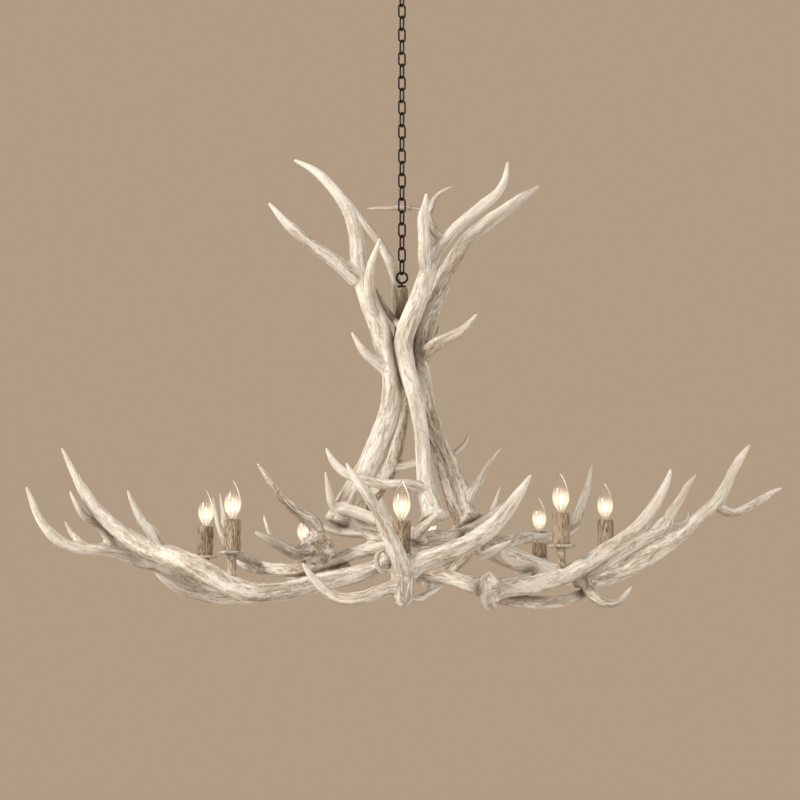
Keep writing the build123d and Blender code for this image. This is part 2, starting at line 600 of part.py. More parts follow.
with BuildPart() as canopy_loop:
    wire_loop(LOOP_RADIUS, LOOP_BAR_Z + 2 * LOOP_RADIUS, 2 * LOOP_RADIUS, EYE_STEPS, Plane.YZ, LOOP_WIRE)
    with BuildSketch(Plane.XY.offset(-CANOPY_DEPTH)):
        RegularPolygon(radius=LOOP_COLLAR_RADIUS, side_count=2 * EYE_STEPS)
    extrude(amount=-LOOP_COLLAR_HEIGHT)
    with BuildSketch(Plane.XY.offset(-CANOPY_DEPTH)):
        Circle(NIPPLE_RADIUS)
    extrude(amount=-THREAD_REACH, mode=Mode.SUBTRACT)
save(canopy_loop.part, "canopy_loop")
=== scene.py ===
"""Antler chandelier: the dressed model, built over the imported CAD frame."""
import logging
import math
from dataclasses import dataclass
from enum import StrEnum
from typing import Any, Callable, Optional, Sequence

import bmesh
import bpy
from bpy.types import ID, Material, Node, NodeSocket, NodeTree, Object
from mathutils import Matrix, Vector, noise


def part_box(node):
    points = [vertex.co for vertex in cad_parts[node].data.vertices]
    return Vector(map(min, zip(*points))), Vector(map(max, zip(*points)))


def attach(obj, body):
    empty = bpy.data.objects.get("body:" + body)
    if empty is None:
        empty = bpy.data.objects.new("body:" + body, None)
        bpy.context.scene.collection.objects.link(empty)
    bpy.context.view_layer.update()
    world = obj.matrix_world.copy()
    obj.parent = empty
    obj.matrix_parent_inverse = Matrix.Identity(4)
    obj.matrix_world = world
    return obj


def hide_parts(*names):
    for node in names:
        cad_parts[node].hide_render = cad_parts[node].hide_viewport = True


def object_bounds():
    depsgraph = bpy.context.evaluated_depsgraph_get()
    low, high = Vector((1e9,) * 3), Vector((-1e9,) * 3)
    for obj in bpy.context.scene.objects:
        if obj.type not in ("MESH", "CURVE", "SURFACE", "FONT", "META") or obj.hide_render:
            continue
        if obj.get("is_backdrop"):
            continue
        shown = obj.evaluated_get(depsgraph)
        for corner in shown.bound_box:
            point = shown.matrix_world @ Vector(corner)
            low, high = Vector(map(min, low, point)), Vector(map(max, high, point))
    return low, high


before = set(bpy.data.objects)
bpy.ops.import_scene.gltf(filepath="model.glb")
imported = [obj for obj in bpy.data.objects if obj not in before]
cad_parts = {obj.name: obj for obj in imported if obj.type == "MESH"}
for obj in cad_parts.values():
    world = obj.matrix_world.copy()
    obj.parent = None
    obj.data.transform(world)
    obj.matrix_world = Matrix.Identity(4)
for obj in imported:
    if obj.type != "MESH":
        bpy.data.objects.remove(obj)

log = logging.getLogger("chandelier")
MM = 0.001
Point = tuple[float, ...]
Colour = tuple[float, float, float]
Feeds = Optional[dict[Any, Any]]
Outline = Sequence[tuple[float, float]]
Wobble = Callable[[float, float, float], float]


class Attr(StrEnum):
    """Names of the mesh attributes that the routes, the relief and the finishes share."""

    THICK = "thick"      # radius of the bone there, in metres
    ALONG = "along"      # distance run along a branch, in metres
    SHARE = "share"      # 0 at a root, 1 at a tip
    KNOB = "knob"        # 1 on a burr
    PEARL = "pearl"      # 1 at a burr, fading up the beam
    TONE = "tone"        # 0 bleached, 1 brown
    RIM = "rim"          # place on the unit circle round a branch
    FLOW = "flow"        # place on the surface with the length squeezed, so patterns run lengthways
    VALLEY = "valley"    # 1 at the bottom of a groove
    # Painted shade: the bone finish darkens the bone where this is high, as shade between antlers.
    GRIME = "grime"      # 1 where another antler is close, else 0
    RISE = "rise"        # height above a light's mouth, in metres

    @property
    def kind(self) -> str:
        """The attribute's data type in Geometry Nodes."""
        return "FLOAT_VECTOR" if self in (Attr.RIM, Attr.FLOW) else "FLOAT"


# ------------------------------------------------------------------ node helpers


class Value:
    """A node's output, which takes part in sums like a number or a vector."""

    def __init__(self, tree: "Tree", socket: NodeSocket) -> None:
        """Keeps the socket and the tree that it is in."""
        self.tree, self.socket = tree, socket

    def __add__(self, other: Any) -> "Value":
        """Returns the sum."""
        return self.tree.math("ADD", self, other)

    def __radd__(self, other: Any) -> "Value":
        """Returns the sum, where a plain number comes first."""
        return self.tree.math("ADD", other, self)

    def __sub__(self, other: Any) -> "Value":
        """Returns the difference."""
        return self.tree.math("SUBTRACT", self, other)

    def __rsub__(self, other: Any) -> "Value":
        """Returns the difference, where a plain number comes first."""
        return self.tree.math("SUBTRACT", other, self)

    def __mul__(self, other: Any) -> "Value":
        """Returns the product; a vector comes before the number that scales it."""
        return self.tree.math("MULTIPLY", self, other)

    def __rtruediv__(self, other: Any) -> "Value":
        """Returns a plain number divided by this one."""
        return self.tree.math("DIVIDE", other, self)


def is_vector(value: Any) -> bool:
    """Returns whether a socket or a plain value is a vector."""
    return value.socket.type in ("VECTOR", "RGBA") if isinstance(value, Value) else isinstance(value, tuple)


class Tree:
    """Adds and joins the nodes of one tree in few words."""

    def __init__(self, tree: NodeTree) -> None:
        """Keeps the tree that is being built."""
        self.tree = tree
        self.given: dict[str, Value] = {}
        self.result: Optional[Node] = None

    def add(self, kind: str, feeds: Feeds = None, **settings: Any) -> Node:
        """Adds a node.

        Args:
            kind: The node's type name.
            feeds: What goes into each input: an output to join, or a plain value.
            settings: Properties of the node, such as its operation.

        Returns:
            The new node.
        """
        node = self.tree.nodes.new(kind)
        for name, value in settings.items():
            setattr(node, name, value)
        for key, value in (feeds or {}).items():
            self.feed(node.inputs[key], value)
        return node

    def get(self, kind: str, feeds: Feeds = None, output: Any = 0, **settings: Any) -> Value:
        """Adds a node as add does, and returns one of its outputs."""
        return Value(self, self.add(kind, feeds, **settings).outputs[output])

    def feed(self, socket: NodeSocket, value: Any) -> None:
        """Joins an output to an input, or writes a plain value in it."""
        if isinstance(value, Value):
            self.tree.links.new(value.socket, socket)
        else:
            socket.default_value = value

    def math(self, operation: str, *values: Any, clamp: bool = False) -> Value:
        """Works out a number, or a vector where one takes part.

        Args:
            operation: The node's operation.
            values: Outputs or plain values, in the order of the node's inputs.
            clamp: Whether a number is kept between 0 and 1.

        Returns:
            The result.
        """
        vectors = [is_vector(value) for value in values]
        if not any(vectors):
            return self.get("ShaderNodeMath", dict(enumerate(values)), operation=operation, use_clamp=clamp)
        if operation == "MULTIPLY" and not all(vectors):
            return self.get("ShaderNodeVectorMath", {0: values[0], "Scale": values[1]}, operation="SCALE")
        output = "Value" if operation == "DOT_PRODUCT" else "Vector"
        return self.get("ShaderNodeVectorMath", dict(enumerate(values)), output, operation=operation)

    def ramp(self, value: Any, low: Any, high: Any) -> Value:
        """Returns a smooth step of a value from 0 at low to 1 at high."""
        return self.get("ShaderNodeMapRange", {0: value, 1: low, 2: high}, interpolation_type="SMOOTHSTEP")

    def noise(self, vector: Value, scale: Any, detail: float = 2.0, rough: float = 0.55) -> Value:
        """Returns a noise from 0 to 1 that reads the given vector."""
        feeds = {"Vector": vector, "Scale": scale, "Detail": detail, "Roughness": rough}
        return self.get("ShaderNodeTexNoise", feeds)

    def combine(self, x: Any = 0.0, y: Any = 0.0, z: Any = 0.0) -> Value:
        """Returns a vector made of three numbers."""
        return self.get("ShaderNodeCombineXYZ", {0: x, 1: y, 2: z})

    def mix(self, share: Any, first: Any, second: Any) -> Value:
        """Returns the colour that lies between two others.

        Args:
            share: 0 for the first colour, 1 for the second.
            first: An output or a plain colour.
            second: An output or a plain colour.

        Returns:
            The mixed colour.
        """
        node = self.add("ShaderNodeMix", data_type="RGBA")
        sockets = {socket.identifier: socket for socket in [*node.inputs, *node.outputs]}
        for key, value in (("Factor_Float", share), ("A_Color", first), ("B_Color", second)):
            self.feed(sockets[key], (*value, 1.0) if isinstance(value, tuple) else value)
        return Value(self, sockets["Result_Color"])

    def read(self, name: Attr) -> Value:
        """Returns a mesh attribute, in a material."""
        output = "Vector" if name.kind == "FLOAT_VECTOR" else "Fac"
        return self.get("ShaderNodeAttribute", output=output, attribute_name=name)

    def group(self, group: NodeTree, **feeds: Any) -> dict[str, Value]:
        """Places a shader group and returns its outputs by name."""
        node = self.add("ShaderNodeGroup", feeds=feeds, node_tree=group)
        return {socket.name: Value(self, socket) for socket in node.outputs}

    def named(self, name: Attr) -> Value:
        """Returns a mesh or curve attribute, in Geometry Nodes."""
        feeds = {"Name": str(name)}
        return self.get("GeometryNodeInputNamedAttribute", feeds, "Attribute", data_type=name.kind)

    def store(self, geometry: Value, name: Attr, value: Value) -> Value:
        """Writes an attribute on the points and returns the geometry."""
        feeds = {"Geometry": geometry, "Name": str(name), "Value": value}
        return self.get("GeometryNodeStoreNamedAttribute", feeds, data_type=name.kind)

    def blurred(self, spot: Value, rounds: Any, weight: Any = 1.0) -> Value:
        """Returns a place averaged with its neighbours', over a number of rounds."""
        feeds = {"Value": spot, "Iterations": rounds, "Weight": weight}
        return self.get("GeometryNodeBlurAttribute", feeds, data_type="FLOAT_VECTOR")

    def moved(self, geometry: Value, **places: Value) -> Value:
        """Returns the geometry at a new Position, or moved by an Offset."""
        return self.get("GeometryNodeSetPosition", {"Geometry": geometry, **places})

    def position(self) -> Value:
        """Returns the place of a point, in Geometry Nodes."""
        return self.get("GeometryNodeInputPosition")

    def pipe(self, path: Value, girth: Value, section: Value, caps: bool) -> Value:
        """Sweeps a section along a curve.

        Args:
            path: The curve.
            girth: The radius along it.
            section: The curve that is swept, of radius 1.
            caps: Whether the ends are closed.

        Returns:
            The swept mesh.
        """
        sized = self.get("GeometryNodeSetCurveRadius", {"Curve": path, "Radius": girth})
        feeds = {"Curve": sized, "Profile Curve": section, "Scale": girth, "Fill Caps": caps}
        return self.get("GeometryNodeCurveToMesh", feeds)

    def close(self, geometry: Value) -> NodeTree:
        """Ends a Geometry Nodes tree in Realize Instances and Set Material, and returns it."""
        real = self.get("GeometryNodeRealizeInstances", {0: geometry})
        smooth = self.get("GeometryNodeSetShadeSmooth", {0: real})
        feeds = {"Geometry": smooth, "Material": self.given["Material"]}
        self.feed(self.result.inputs[0], self.get("GeometryNodeSetMaterial", feeds))
        return self.tree


def open_tree(name: str, kind: str, inputs: dict[str, Any], outputs: dict[str, str]) -> Tree:
    """Starts a node group with named inputs and outputs.

    Args:
        name: The group's name.
        kind: Its type name.
        inputs: The default of each input, or the name of its socket type where it has none.
        outputs: The name of each output's socket type.

    Returns:
        The tree, with its inputs in given and its output node in result.
    """
    group = bpy.data.node_groups.new(name, kind)
    for title, default in inputs.items():
        socket_type = default if isinstance(default, str) else {float: "Float", int: "Int"}[type(default)]
        socket = group.interface.new_socket(title, in_out="INPUT", socket_type=f"NodeSocket{socket_type}")
        if socket_type is not default:
            socket.default_value = default
    for title, socket_type in outputs.items():
        group.interface.new_socket(title, in_out="OUTPUT", socket_type=f"NodeSocket{socket_type}")
    tree = Tree(group)
    tree.given = {socket.name: Value(tree, socket) for socket in tree.add("NodeGroupInput").outputs}
    tree.result = tree.add("NodeGroupOutput")
    return tree


def geometry_tree(name: str, inputs: dict[str, Any]) -> Tree:
    """Starts a Geometry Nodes tree that takes a geometry, these inputs and a material."""
    return open_tree(name, "GeometryNodeTree", {"Geometry": "Geometry", **inputs, "Material": "Material"},
                     {"Geometry": "Geometry"})


# ------------------------------------------------------------------ object helpers


def linked(name: str, data: ID) -> Object:
    """Returns a new object in the scene."""
    made = bpy.data.objects.new(name, data)
    bpy.context.scene.collection.objects.link(made)
    return made


def from_shape(name: str, shape: bmesh.types.BMesh, materials: Sequence[Material] = ()) -> Object:
    """Returns an object that holds a finished shape.

    Args:
        name: Name of the object and its mesh.
        shape: The shape, which is freed.
        materials: The object's materials.

    Returns:
        The object.
    """
    mesh = bpy.data.meshes.new(name)
    shape.to_mesh(mesh)
    shape.free()
    for material in materials:
        mesh.materials.append(material)
    return linked(name, mesh)


def baked(source: Object, name: str) -> Object:
    """Returns what an object looks like with its modifiers, as a plain mesh, and removes it.

    Args:
        source: A mesh or a curve.
        name: Name of the plain mesh's object.

    Returns:
        The new object, at the origin.
    """
    bpy.context.view_layer.update()
    graph = bpy.context.evaluated_depsgraph_get()
    piece = linked(name, bpy.data.meshes.new_from_object(source.evaluated_get(graph)))
    bpy.data.objects.remove(source)
    return piece


def grow(source: Object, group: NodeTree, values: dict[str, Any], name: str,
         voxel: float = 0.0) -> Object:
    """Runs Geometry Nodes on an object and keeps the result as a plain mesh.

    Args:
        source: The object that carries the modifiers; it is removed afterwards.
        group: The tree.
        values: The values of its inputs.
        name: Name of the finished piece.
        voxel: Size of a voxel remesh before the tree, or 0 for none.

    Returns:
        The finished piece, at the origin.
    """
    if voxel:
        remesh = source.modifiers.new("one skin", "REMESH")
        remesh.mode = "VOXEL"
        remesh.voxel_size = voxel
    modifier = source.modifiers.new(group.name, "NODES")
    modifier.node_group = group
    sockets = {item.name: item.identifier for item in group.interface.items_tree if item.in_out == "INPUT"}
    for title, value in values.items():
        modifier[sockets[title]] = value
    return baked(source, name)


def twin(piece: Object) -> Object:
    """Returns a copy of a piece with its own mesh."""
    return linked(piece.name, piece.data.copy())


def merged(pieces: Sequence[Object], name: str) -> Object:
    """Joins several meshes of one body in one object.

    Args:
        pieces: The meshes, which are removed afterwards.
        name: Name of the joined piece.

    Returns:
        The joined piece, with the materials of the first one.
    """
    shape = bmesh.new()
    for piece in pieces:
        shape.from_mesh(piece.data)
    joined = from_shape(name, shape, list(pieces[0].data.materials))
    for piece in pieces:
        bpy.data.objects.remove(piece)
    return joined


def place(piece: Object, node: Optional[str], body: str) -> None:
    """Gives a finished piece its body, hides the CAD node that it replaces, and reports it.

    Args:
        piece: The finished piece.
        node: The node that it replaces, or None where it is added.
        body: The body that it rides on.
    """
    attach(piece, body)
    if node:
        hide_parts(node)
    log.info("%s: %d faces", piece.name, len(piece.data.polygons))


# ------------------------------------------------------------------ the antlers' own shape


@dataclass(frozen=True)
class Antler:
    """The routes of one antler, each a row of points: x, y, height and radius, in millimetres.

    Heights are above a level just under the lowest burr. A beam starts at its burr.
    """

    tone: float                              # 0 bleached, 1 weathered brown
    burr: float                              # radius of the crown at its root, 0 for none
    beam: tuple[Point, ...]
    tines: tuple[tuple[Point, ...], ...] = ()


POST_TOP = 672
ANTLERS: dict[str, Antler] = {
    "centre_post": Antler(1.0, 0, (
        (0, 0, POST_TOP, 13), (0, 0, 646, 13.5), (0, 0, 600, 16), (0, 0, 553, 19), (0, 0, 505, 15),
        (0, 0, 469, 10),
    )),
    # front left upright, leaning in to the neck and out again to the upper left
    "upright_front_left": Antler(0.12, 26, (
        (-130, -33, 191, 26), (-103, -24, 239, 25), (-72, -12, 297, 24), (-48, -15, 347, 24.5),
        (-28, -25, 401, 23), (-19, -32, 456, 22), (-24, -25, 510, 22), (-35, -18, 550, 23.5),
        (-50, -20, 596, 21), (-71, -28, 644, 19), (-87, -40, 716, 18.5), (-93, -45, 770, 15.5),
        (-109, -48, 821, 13.5), (-138, -50, 864, 11.5), (-176, -48, 902, 9), (-219, -45, 926, 3),
    ), (
        ((-91, -38, 679, 16.5), (-134, -60, 713, 15.5), (-178, -80, 741, 13.5), (-225, -95, 778, 11),
         (-265, -100, 822, 3)),
        ((-54, -30, 609, 11), (-66, -62, 649, 11), (-62, -74, 702, 9), (-43, -74, 756, 2.5)),
        ((-30, -28, 495, 13), (-59, -45, 516, 11), (-81, -60, 536, 9), (-100, -72, 566, 2.5)),
        # too thin to be in the solids
        ((-112, -40, 200, 15), (-135, -58, 222, 11), (-143, -62, 246, 8), (-151, -66, 289, 2)),
        ((-128, -52, 218, 13), (-104, -62, 214, 13), (-72, -72, 202, 13), (-50, -76, 190, 11)),
    )),
    # front upright, with the long tine beside the chain and a brow tine to the left
    "upright_front": Antler(0.08, 30, (
        (64, -86, 192, 23), (54, -75, 231, 21.5), (43, -57, 280, 16.5), (40, -53, 339, 15.5),
        (34, -59, 396, 16), (22, -59, 455, 17.5), (9, -47, 506, 18.5), (3, -40, 552, 20.5),
        (18, -46, 600, 20.5), (34, -54, 639, 20), (50, -62, 686, 17.5), (70, -70, 731, 14.5),
        (96, -76, 763, 13), (126, -80, 792, 13), (160, -84, 820, 12), (190, -86, 846, 10),
        (206, -86, 875, 7.5), (212, -84, 911, 2.5),
    ), (
        ((50, -62, 686, 14.5), (44, -84, 720, 13.5), (44, -94, 752, 13), (42, -96, 790, 12),
         (46, -94, 819, 8), (49, -92, 844, 2.5)),
        ((53, -71, 242, 14), (19, -83, 260, 13), (-27, -87, 261, 12.5), (-68, -87, 269, 11),
         (-109, -86, 283, 10.5), (-133, -86, 305, 8.5), (-149, -89, 333, 2.5)),
        ((3, -42, 576, 9), (-22, -2, 612, 7.5), (-39, -13, 637, 5.5), (-53, -20, 666, 2)),
    )),
    # right upright
    "upright_right": Antler(0.5, 24.5, (
        (140, 67, 199, 15.5), (128, 71, 244, 15), (114, 70, 296, 12), (87, 48, 350, 12),
        (64, 18, 402, 13.5), (50, -1, 448, 15.5), (39, -5, 496, 19), (36, -4, 542, 21), (49, -6, 599, 21),
        (69, -10, 648, 19.5), (85, -14, 690, 18), (108, -20, 730, 16), (134, -26, 766, 15.5),
        (173, -32, 798, 15.5), (213, -38, 826, 13.5), (245, -42, 850, 10), (278, -44, 872, 3),
    ), (
        ((40, -6, 527, 15.5), (66, -36, 546, 14.5), (93, -48, 559, 12.5), (122, -56, 574, 10.5),
         (150, -60, 605, 2.5)),
        ((52, 0, 553, 9), (71, 24, 575, 6.5), (75, 32, 600, 2)),
        ((134, 71, 235, 15), (156, 57, 278, 11), (174, 43, 310, 7.5), (201, 27, 345, 2)),
        ((93, 59, 328, 10), (111, 68, 341, 8), (131, 69, 361, 5.5), (136, 61, 381, 2)),
    )),
    # back left upright, forked at the top behind the chain
    "upright_back_left": Antler(0.6, 25.5, (
        (-89, 162, 219, 19.5), (-68, 157, 251, 18.5), (-37, 143, 293, 17.5), (-16, 119, 334, 16),
        (-4, 83, 382, 14.5), (6, 45, 440, 14.5), (14, 27, 501, 14.5), (22, 22, 557, 14.5),
        (37, 31, 631, 13.5), (58, 46, 708, 12.5), (81, 60, 779, 11), (65, 68, 811, 10), (56, 74, 842, 9),
    ), (
        ((56, 74, 842, 8.5), (68, 80, 878, 7), (89, 84, 897, 5), (109, 86, 907, 2)),
        ((56, 74, 842, 8.5), (34, 78, 853, 8), (4, 82, 859, 7), (-37, 86, 860, 5), (-74, 88, 860, 2)),
        # too thin to be in the solids
        ((-30, 128, 318, 10), (0, 122, 317, 11.5), (26, 118, 322, 11.5), (44, 116, 327, 9)),
    )),
    # back right upright, crossing to the left behind the neck
    "upright_back_right": Antler(0.65, 25.5, (
        (131, 172, 190, 18.5), (114, 170, 233, 17.5), (93, 158, 298, 16.5), (71, 124, 358, 15),
        (47, 85, 414, 14), (27, 59, 469, 13.5), (12, 52, 510, 13.5), (-1, 45, 561, 12.5),
        (-10, 46, 644, 12), (-12, 50, 691, 11.5), (-29, 58, 746, 11), (-53, 66, 789, 10), (-82, 72, 829, 8),
        (-105, 76, 862, 6), (-120, 78, 884, 2),
    )),
    # short antler under the front and right uprights
    "ring_centre": Antler(0.4, 24, (
        (19, 6, 160, 17.5), (47, -5, 162, 16.5), (94, 16, 166, 14.5), (133, 40, 178, 14),
        (173, 49, 203, 13), (207, 50, 228, 9), (231, 49, 247, 3),
    ), (
        ((41, -10, 162, 14.5), (32, -83, 168, 13.5), (49, -123, 184, 11), (66, -139, 198, 6)),
    )),
    # back beam, which carries the back light
    "ring_back": Antler(0.5, 25.5, (
        (135, 146, 165, 18.5), (116, 194, 149, 17.5), (93, 266, 129, 18), (75, 336, 109, 18.5),
        (67, 406, 94, 18), (64, 461, 86, 18.5), (51, 494, 103, 15), (14, 512, 156, 12), (-27, 521, 226, 10),
        (-53, 523, 289, 7.5), (-67, 506, 345, 2.5),
    ), (
        ((66, 458, 88, 13.5), (122, 486, 118, 12.5), (167, 502, 165, 10.5), (198, 511, 223, 8),
         (215, 516, 265, 6.5), (230, 512, 306, 2.5)),
        ((110, 204, 147, 16.5), (57, 186, 145, 15.5), (-3, 173, 152, 14.5), (-56, 165, 175, 13),
         (-98, 160, 209, 9), (-123, 158, 241, 2.5)),
    )),
    # front beam, ending in a crown of four tines
    "ring_front": Antler(0.25, 24, (
        (14, -34, 137, 20), (3, -119, 113, 19), (-2, -204, 95, 18.5), (-3, -284, 90, 19),
        (1, -359, 81, 20.5), (3, -386, 58, 21), (2, -396, 36, 16.5),
    ), (
        ((1, -374, 77, 17.5), (-4, -400, 100, 16.5), (-12, -408, 122, 15), (-28, -412, 154, 13.5),
         (-44, -414, 188, 12), (-64, -412, 221, 10), (-84, -408, 249, 7.5), (-99, -404, 274, 2)),
        ((1, -374, 77, 18.5), (29, -386, 98, 18.5), (58, -390, 110, 17), (93, -390, 122, 17),
         (128, -388, 140, 16.5), (158, -384, 162, 15.5), (183, -380, 189, 14), (209, -374, 225, 10),
         (229, -370, 256, 2)),
        ((-2, -384, 60, 16.5), (-28, -396, 53, 13.5), (-52, -402, 44, 13), (-83, -402, 36, 13),
         (-113, -396, 39, 12), (-137, -388, 54, 10), (-160, -380, 77, 7.5), (-176, -374, 100, 2)),
        ((3, -390, 48, 14.5), (16, -380, 37, 9), (33, -370, 38, 8), (54, -358, 50, 6.5),
         (72, -348, 61, 1.5)),
        # too thin to be in the solids
        ((-3, -300, 92, 8), (-30, -310, 84, 5.5), (-44, -312, 96, 5), (-45, -312, 116, 4.5),
         (-32, -310, 126, 2.5)),
    )),
    # long front left beam
    "ring_left_front": Antler(0.3, 20.5, (
        (-28, -186, 107, 16.5), (-47, -190, 98, 15.5), (-87, -196, 84, 17.5), (-154, -206, 69, 18),
        (-219, -214, 53, 18.5), (-276, -218, 51, 19.5), (-315, -217, 62, 20.5), (-348, -212, 79, 22.5),
        (-383, -202, 98, 22.5), (-440, -182, 121, 21), (-496, -159, 141, 18), (-541, -139, 171, 17),
        (-584, -124, 205, 14.5), (-607, -116, 236, 13), (-626, -112, 264, 9.5), (-643, -113, 297, 6.5),
        (-659, -120, 330, 2.5),
    ), (
        ((-450, -177, 127, 12.5), (-469, -196, 163, 12), (-487, -206, 185, 9.5), (-502, -214, 214, 6.5),
         (-513, -218, 241, 2)),
    )),
    # back left beam, whose brow tine the front left upright stands on
    "ring_back_left": Antler(0.45, 23.5, (
        (-14, -84, 142, 15), (-34, -80, 142, 14), (-66, -72, 136, 14), (-111, -60, 124, 14),
        (-146, -42, 114, 14.5), (-183, -4, 101, 14.5), (-247, 61, 100, 14.5), (-298, 126, 108, 15),
        (-331, 196, 121, 15.5), (-353, 256, 137, 14.5), (-373, 301, 160, 12), (-387, 328, 197, 10),
        (-396, 342, 242, 6.5), (-404, 349, 279, 2),
    ), (
        ((-373, 301, 160, 10.5), (-391, 291, 186, 9), (-403, 284, 222, 6.5), (-411, 280, 265, 2)),
        ((-298, 126, 108, 14), (-306, 76, 117, 12), (-327, 36, 128, 10), (-347, 6, 143, 7),
         (-363, -14, 167, 2)),
        ((-20, -84, 144, 13), (-36, -78, 157, 11.5), (-67, -67, 167, 11), (-105, -53, 170, 11),
         (-131, -43, 174, 9.5), (-153, -38, 181, 6.5)),
    )),
    # long left beam with its low blade tine
    "ring_left": Antler(0.35, 21.5, (
        (-106, -46, 94, 19), (-146, -30, 84, 18), (-202, -4, 66, 17.5), (-260, 21, 55, 16.5),
        (-306, 41, 50, 17), (-368, 62, 60, 17), (-409, 62, 75, 17), (-442, 36, 87, 16),
        (-478, -12, 106, 16), (-513, -59, 114, 14), (-542, -92, 127, 14), (-572, -108, 134, 13),
        (-605, -116, 135, 12), (-638, -120, 140, 12), (-664, -124, 155, 12), (-685, -128, 177, 10.5),
        (-701, -130, 203, 8.5), (-712, -132, 230, 6), (-722, -134, 254, 2.5),
    ), (
        ((-301, 40, 48, 16.5), (-361, 4, 43, 14.5), (-392, -18, 48, 12.5), (-430, -44, 58, 10),
         (-461, -62, 75, 7), (-482, -72, 94, 2)),
        ((-550, -94, 129, 13), (-563, -108, 154, 12), (-583, -118, 179, 10), (-609, -130, 197, 8.5),
         (-623, -138, 218, 6), (-636, -142, 244, 2.5)),
        ((-605, -116, 137, 8.5), (-630, -102, 157, 7), (-643, -96, 171, 5), (-655, -92, 191, 2)),
    )),
    # left antler with its burr towards the front
    "ring_mid_left": Antler(0.6, 31.5, (
        (-163, -119, 135, 22.5), (-162, -94, 140, 21.5), (-169, -46, 139, 19.5), (-187, 26, 133, 19),
        (-205, 126, 115, 18.5), (-211, 226, 91, 17.5), (-213, 306, 73, 18), (-216, 356, 72, 17),
        (-232, 396, 85, 15), (-257, 422, 107, 11), (-275, 434, 130, 3),
    ), (
        ((-162, -94, 142, 16), (-167, -109, 180, 15.5), (-194, -124, 201, 13), (-221, -136, 222, 11),
         (-241, -146, 245, 8.5), (-259, -154, 272, 6), (-276, -163, 296, 2)),
        ((-162, -99, 140, 17), (-198, -130, 126, 14.5), (-230, -144, 139, 12), (-258, -154, 154, 8),
         (-279, -160, 165, 3)),
        ((-230, -144, 139, 8), (-250, -140, 162, 6), (-258, -140, 180, 5), (-265, -140, 199, 2)),
    )),
    # lowest beam on the right
    "ring_low_right": Antler(0.45, 17.5, (
        (20, -165, 87, 16.5), (49, -174, 84, 15.5), (97, -190, 76, 14.5), (140, -224, 58, 14),
        (191, -230, 38, 13.5), (256, -206, 33, 13.5), (311, -183, 38, 12.5), (347, -168, 54, 9),
        (367, -157, 69, 3),
    ), (
        ((97, -190, 76, 12.5), (157, -124, 71, 12), (205, -64, 74, 10), (240, -22, 82, 7.5),
         (260, 0, 97, 2.5)),
    )),
    # front right beam
    "ring_right_front": Antler(0.25, 33, (
        (155, -269, 52, 23.5), (166, -264, 53, 22), (189, -256, 58, 18), (230, -240, 62, 17.5),
        (270, -225, 72, 17.5), (310, -212, 86, 17.5), (351, -204, 107, 17), (380, -199, 128, 16),
        (412, -194, 147, 15.5), (448, -188, 176, 15), (473, -182, 209, 13), (491, -178, 238, 10),
        (502, -176, 259, 7.5), (510, -175, 284, 2.5),
    )),
    # long right beam with its forked end
    "ring_right": Antler(0.35, 22, (
        (125, 9, 155, 22), (162, 4, 145, 21), (204, 7, 128, 22), (252, 16, 111, 22), (297, 28, 95, 21),
        (349, 46, 82, 19), (403, 62, 85, 19), (448, 72, 99, 20), (506, 80, 132, 20.5), (565, 86, 169, 16.5),
        (595, 88, 194, 15), (625, 90, 221, 14.5), (651, 92, 245, 14.5), (668, 94, 273, 11.5),
        (683, 89, 305, 10), (699, 79, 333, 8.5), (715, 69, 357, 2.5),
    ), (
        ((642, 91, 235, 14), (679, 100, 218, 11), (710, 106, 228, 10), (747, 112, 249, 9),
         (771, 116, 264, 5.5), (790, 118, 272, 2)),
        ((162, 4, 145, 15.5), (159, -31, 126, 10.5), (188, -54, 139, 9.5), (215, -69, 154, 2.5)),
    )),
    # right antler between the two long beams, with a hooked brow tine
    "ring_mid_right": Antler(0.4, 20.5, (
        (319, -178, 80, 17.5), (345, -172, 88, 16.5), (381, -165, 106, 14.5), (413, -154, 126, 14),
        (439, -148, 139, 13.5), (473, -140, 157, 13.5), (501, -134, 173, 13.5), (516, -128, 203, 10.5),
        (538, -122, 234, 8.5), (552, -118, 259, 6), (570, -115, 279, 2),
    ), (
        ((342, -168, 86, 14.5), (348, -188, 58, 13), (361, -200, 40, 11), (378, -206, 31, 10),
         (397, -209, 32, 9), (412, -211, 44, 7), (426, -210, 61, 2.5)),
        ((497, -136, 171, 10.5), (525, -126, 175, 9), (546, -120, 187, 6.5), (551, -118, 208, 2)),
        ((473, -140, 157, 8), (487, -142, 180, 6), (500, -144, 195, 2)),
    )),
    # back right beam and its low tine under the back right light
    "ring_back_right": Antler(0.45, 23, (
        (168, 136, 161, 15), (194, 161, 163, 14), (227, 197, 165, 13.5), (269, 251, 176, 13.5),
        (319, 302, 177, 13), (352, 324, 188, 14), (379, 336, 206, 14), (392, 342, 232, 12.5),
        (403, 344, 264, 11.5), (412, 343, 294, 9), (421, 329, 342, 2),
    ), (
        ((227, 197, 165, 9), (241, 176, 175, 7), (250, 166, 192, 2)),
        ((202, 169, 163, 14), (231, 229, 130, 13.5), (267, 304, 103, 14), (301, 368, 91, 14.5),
         (334, 401, 95, 11), (368, 419, 114, 3)),
    )),
}


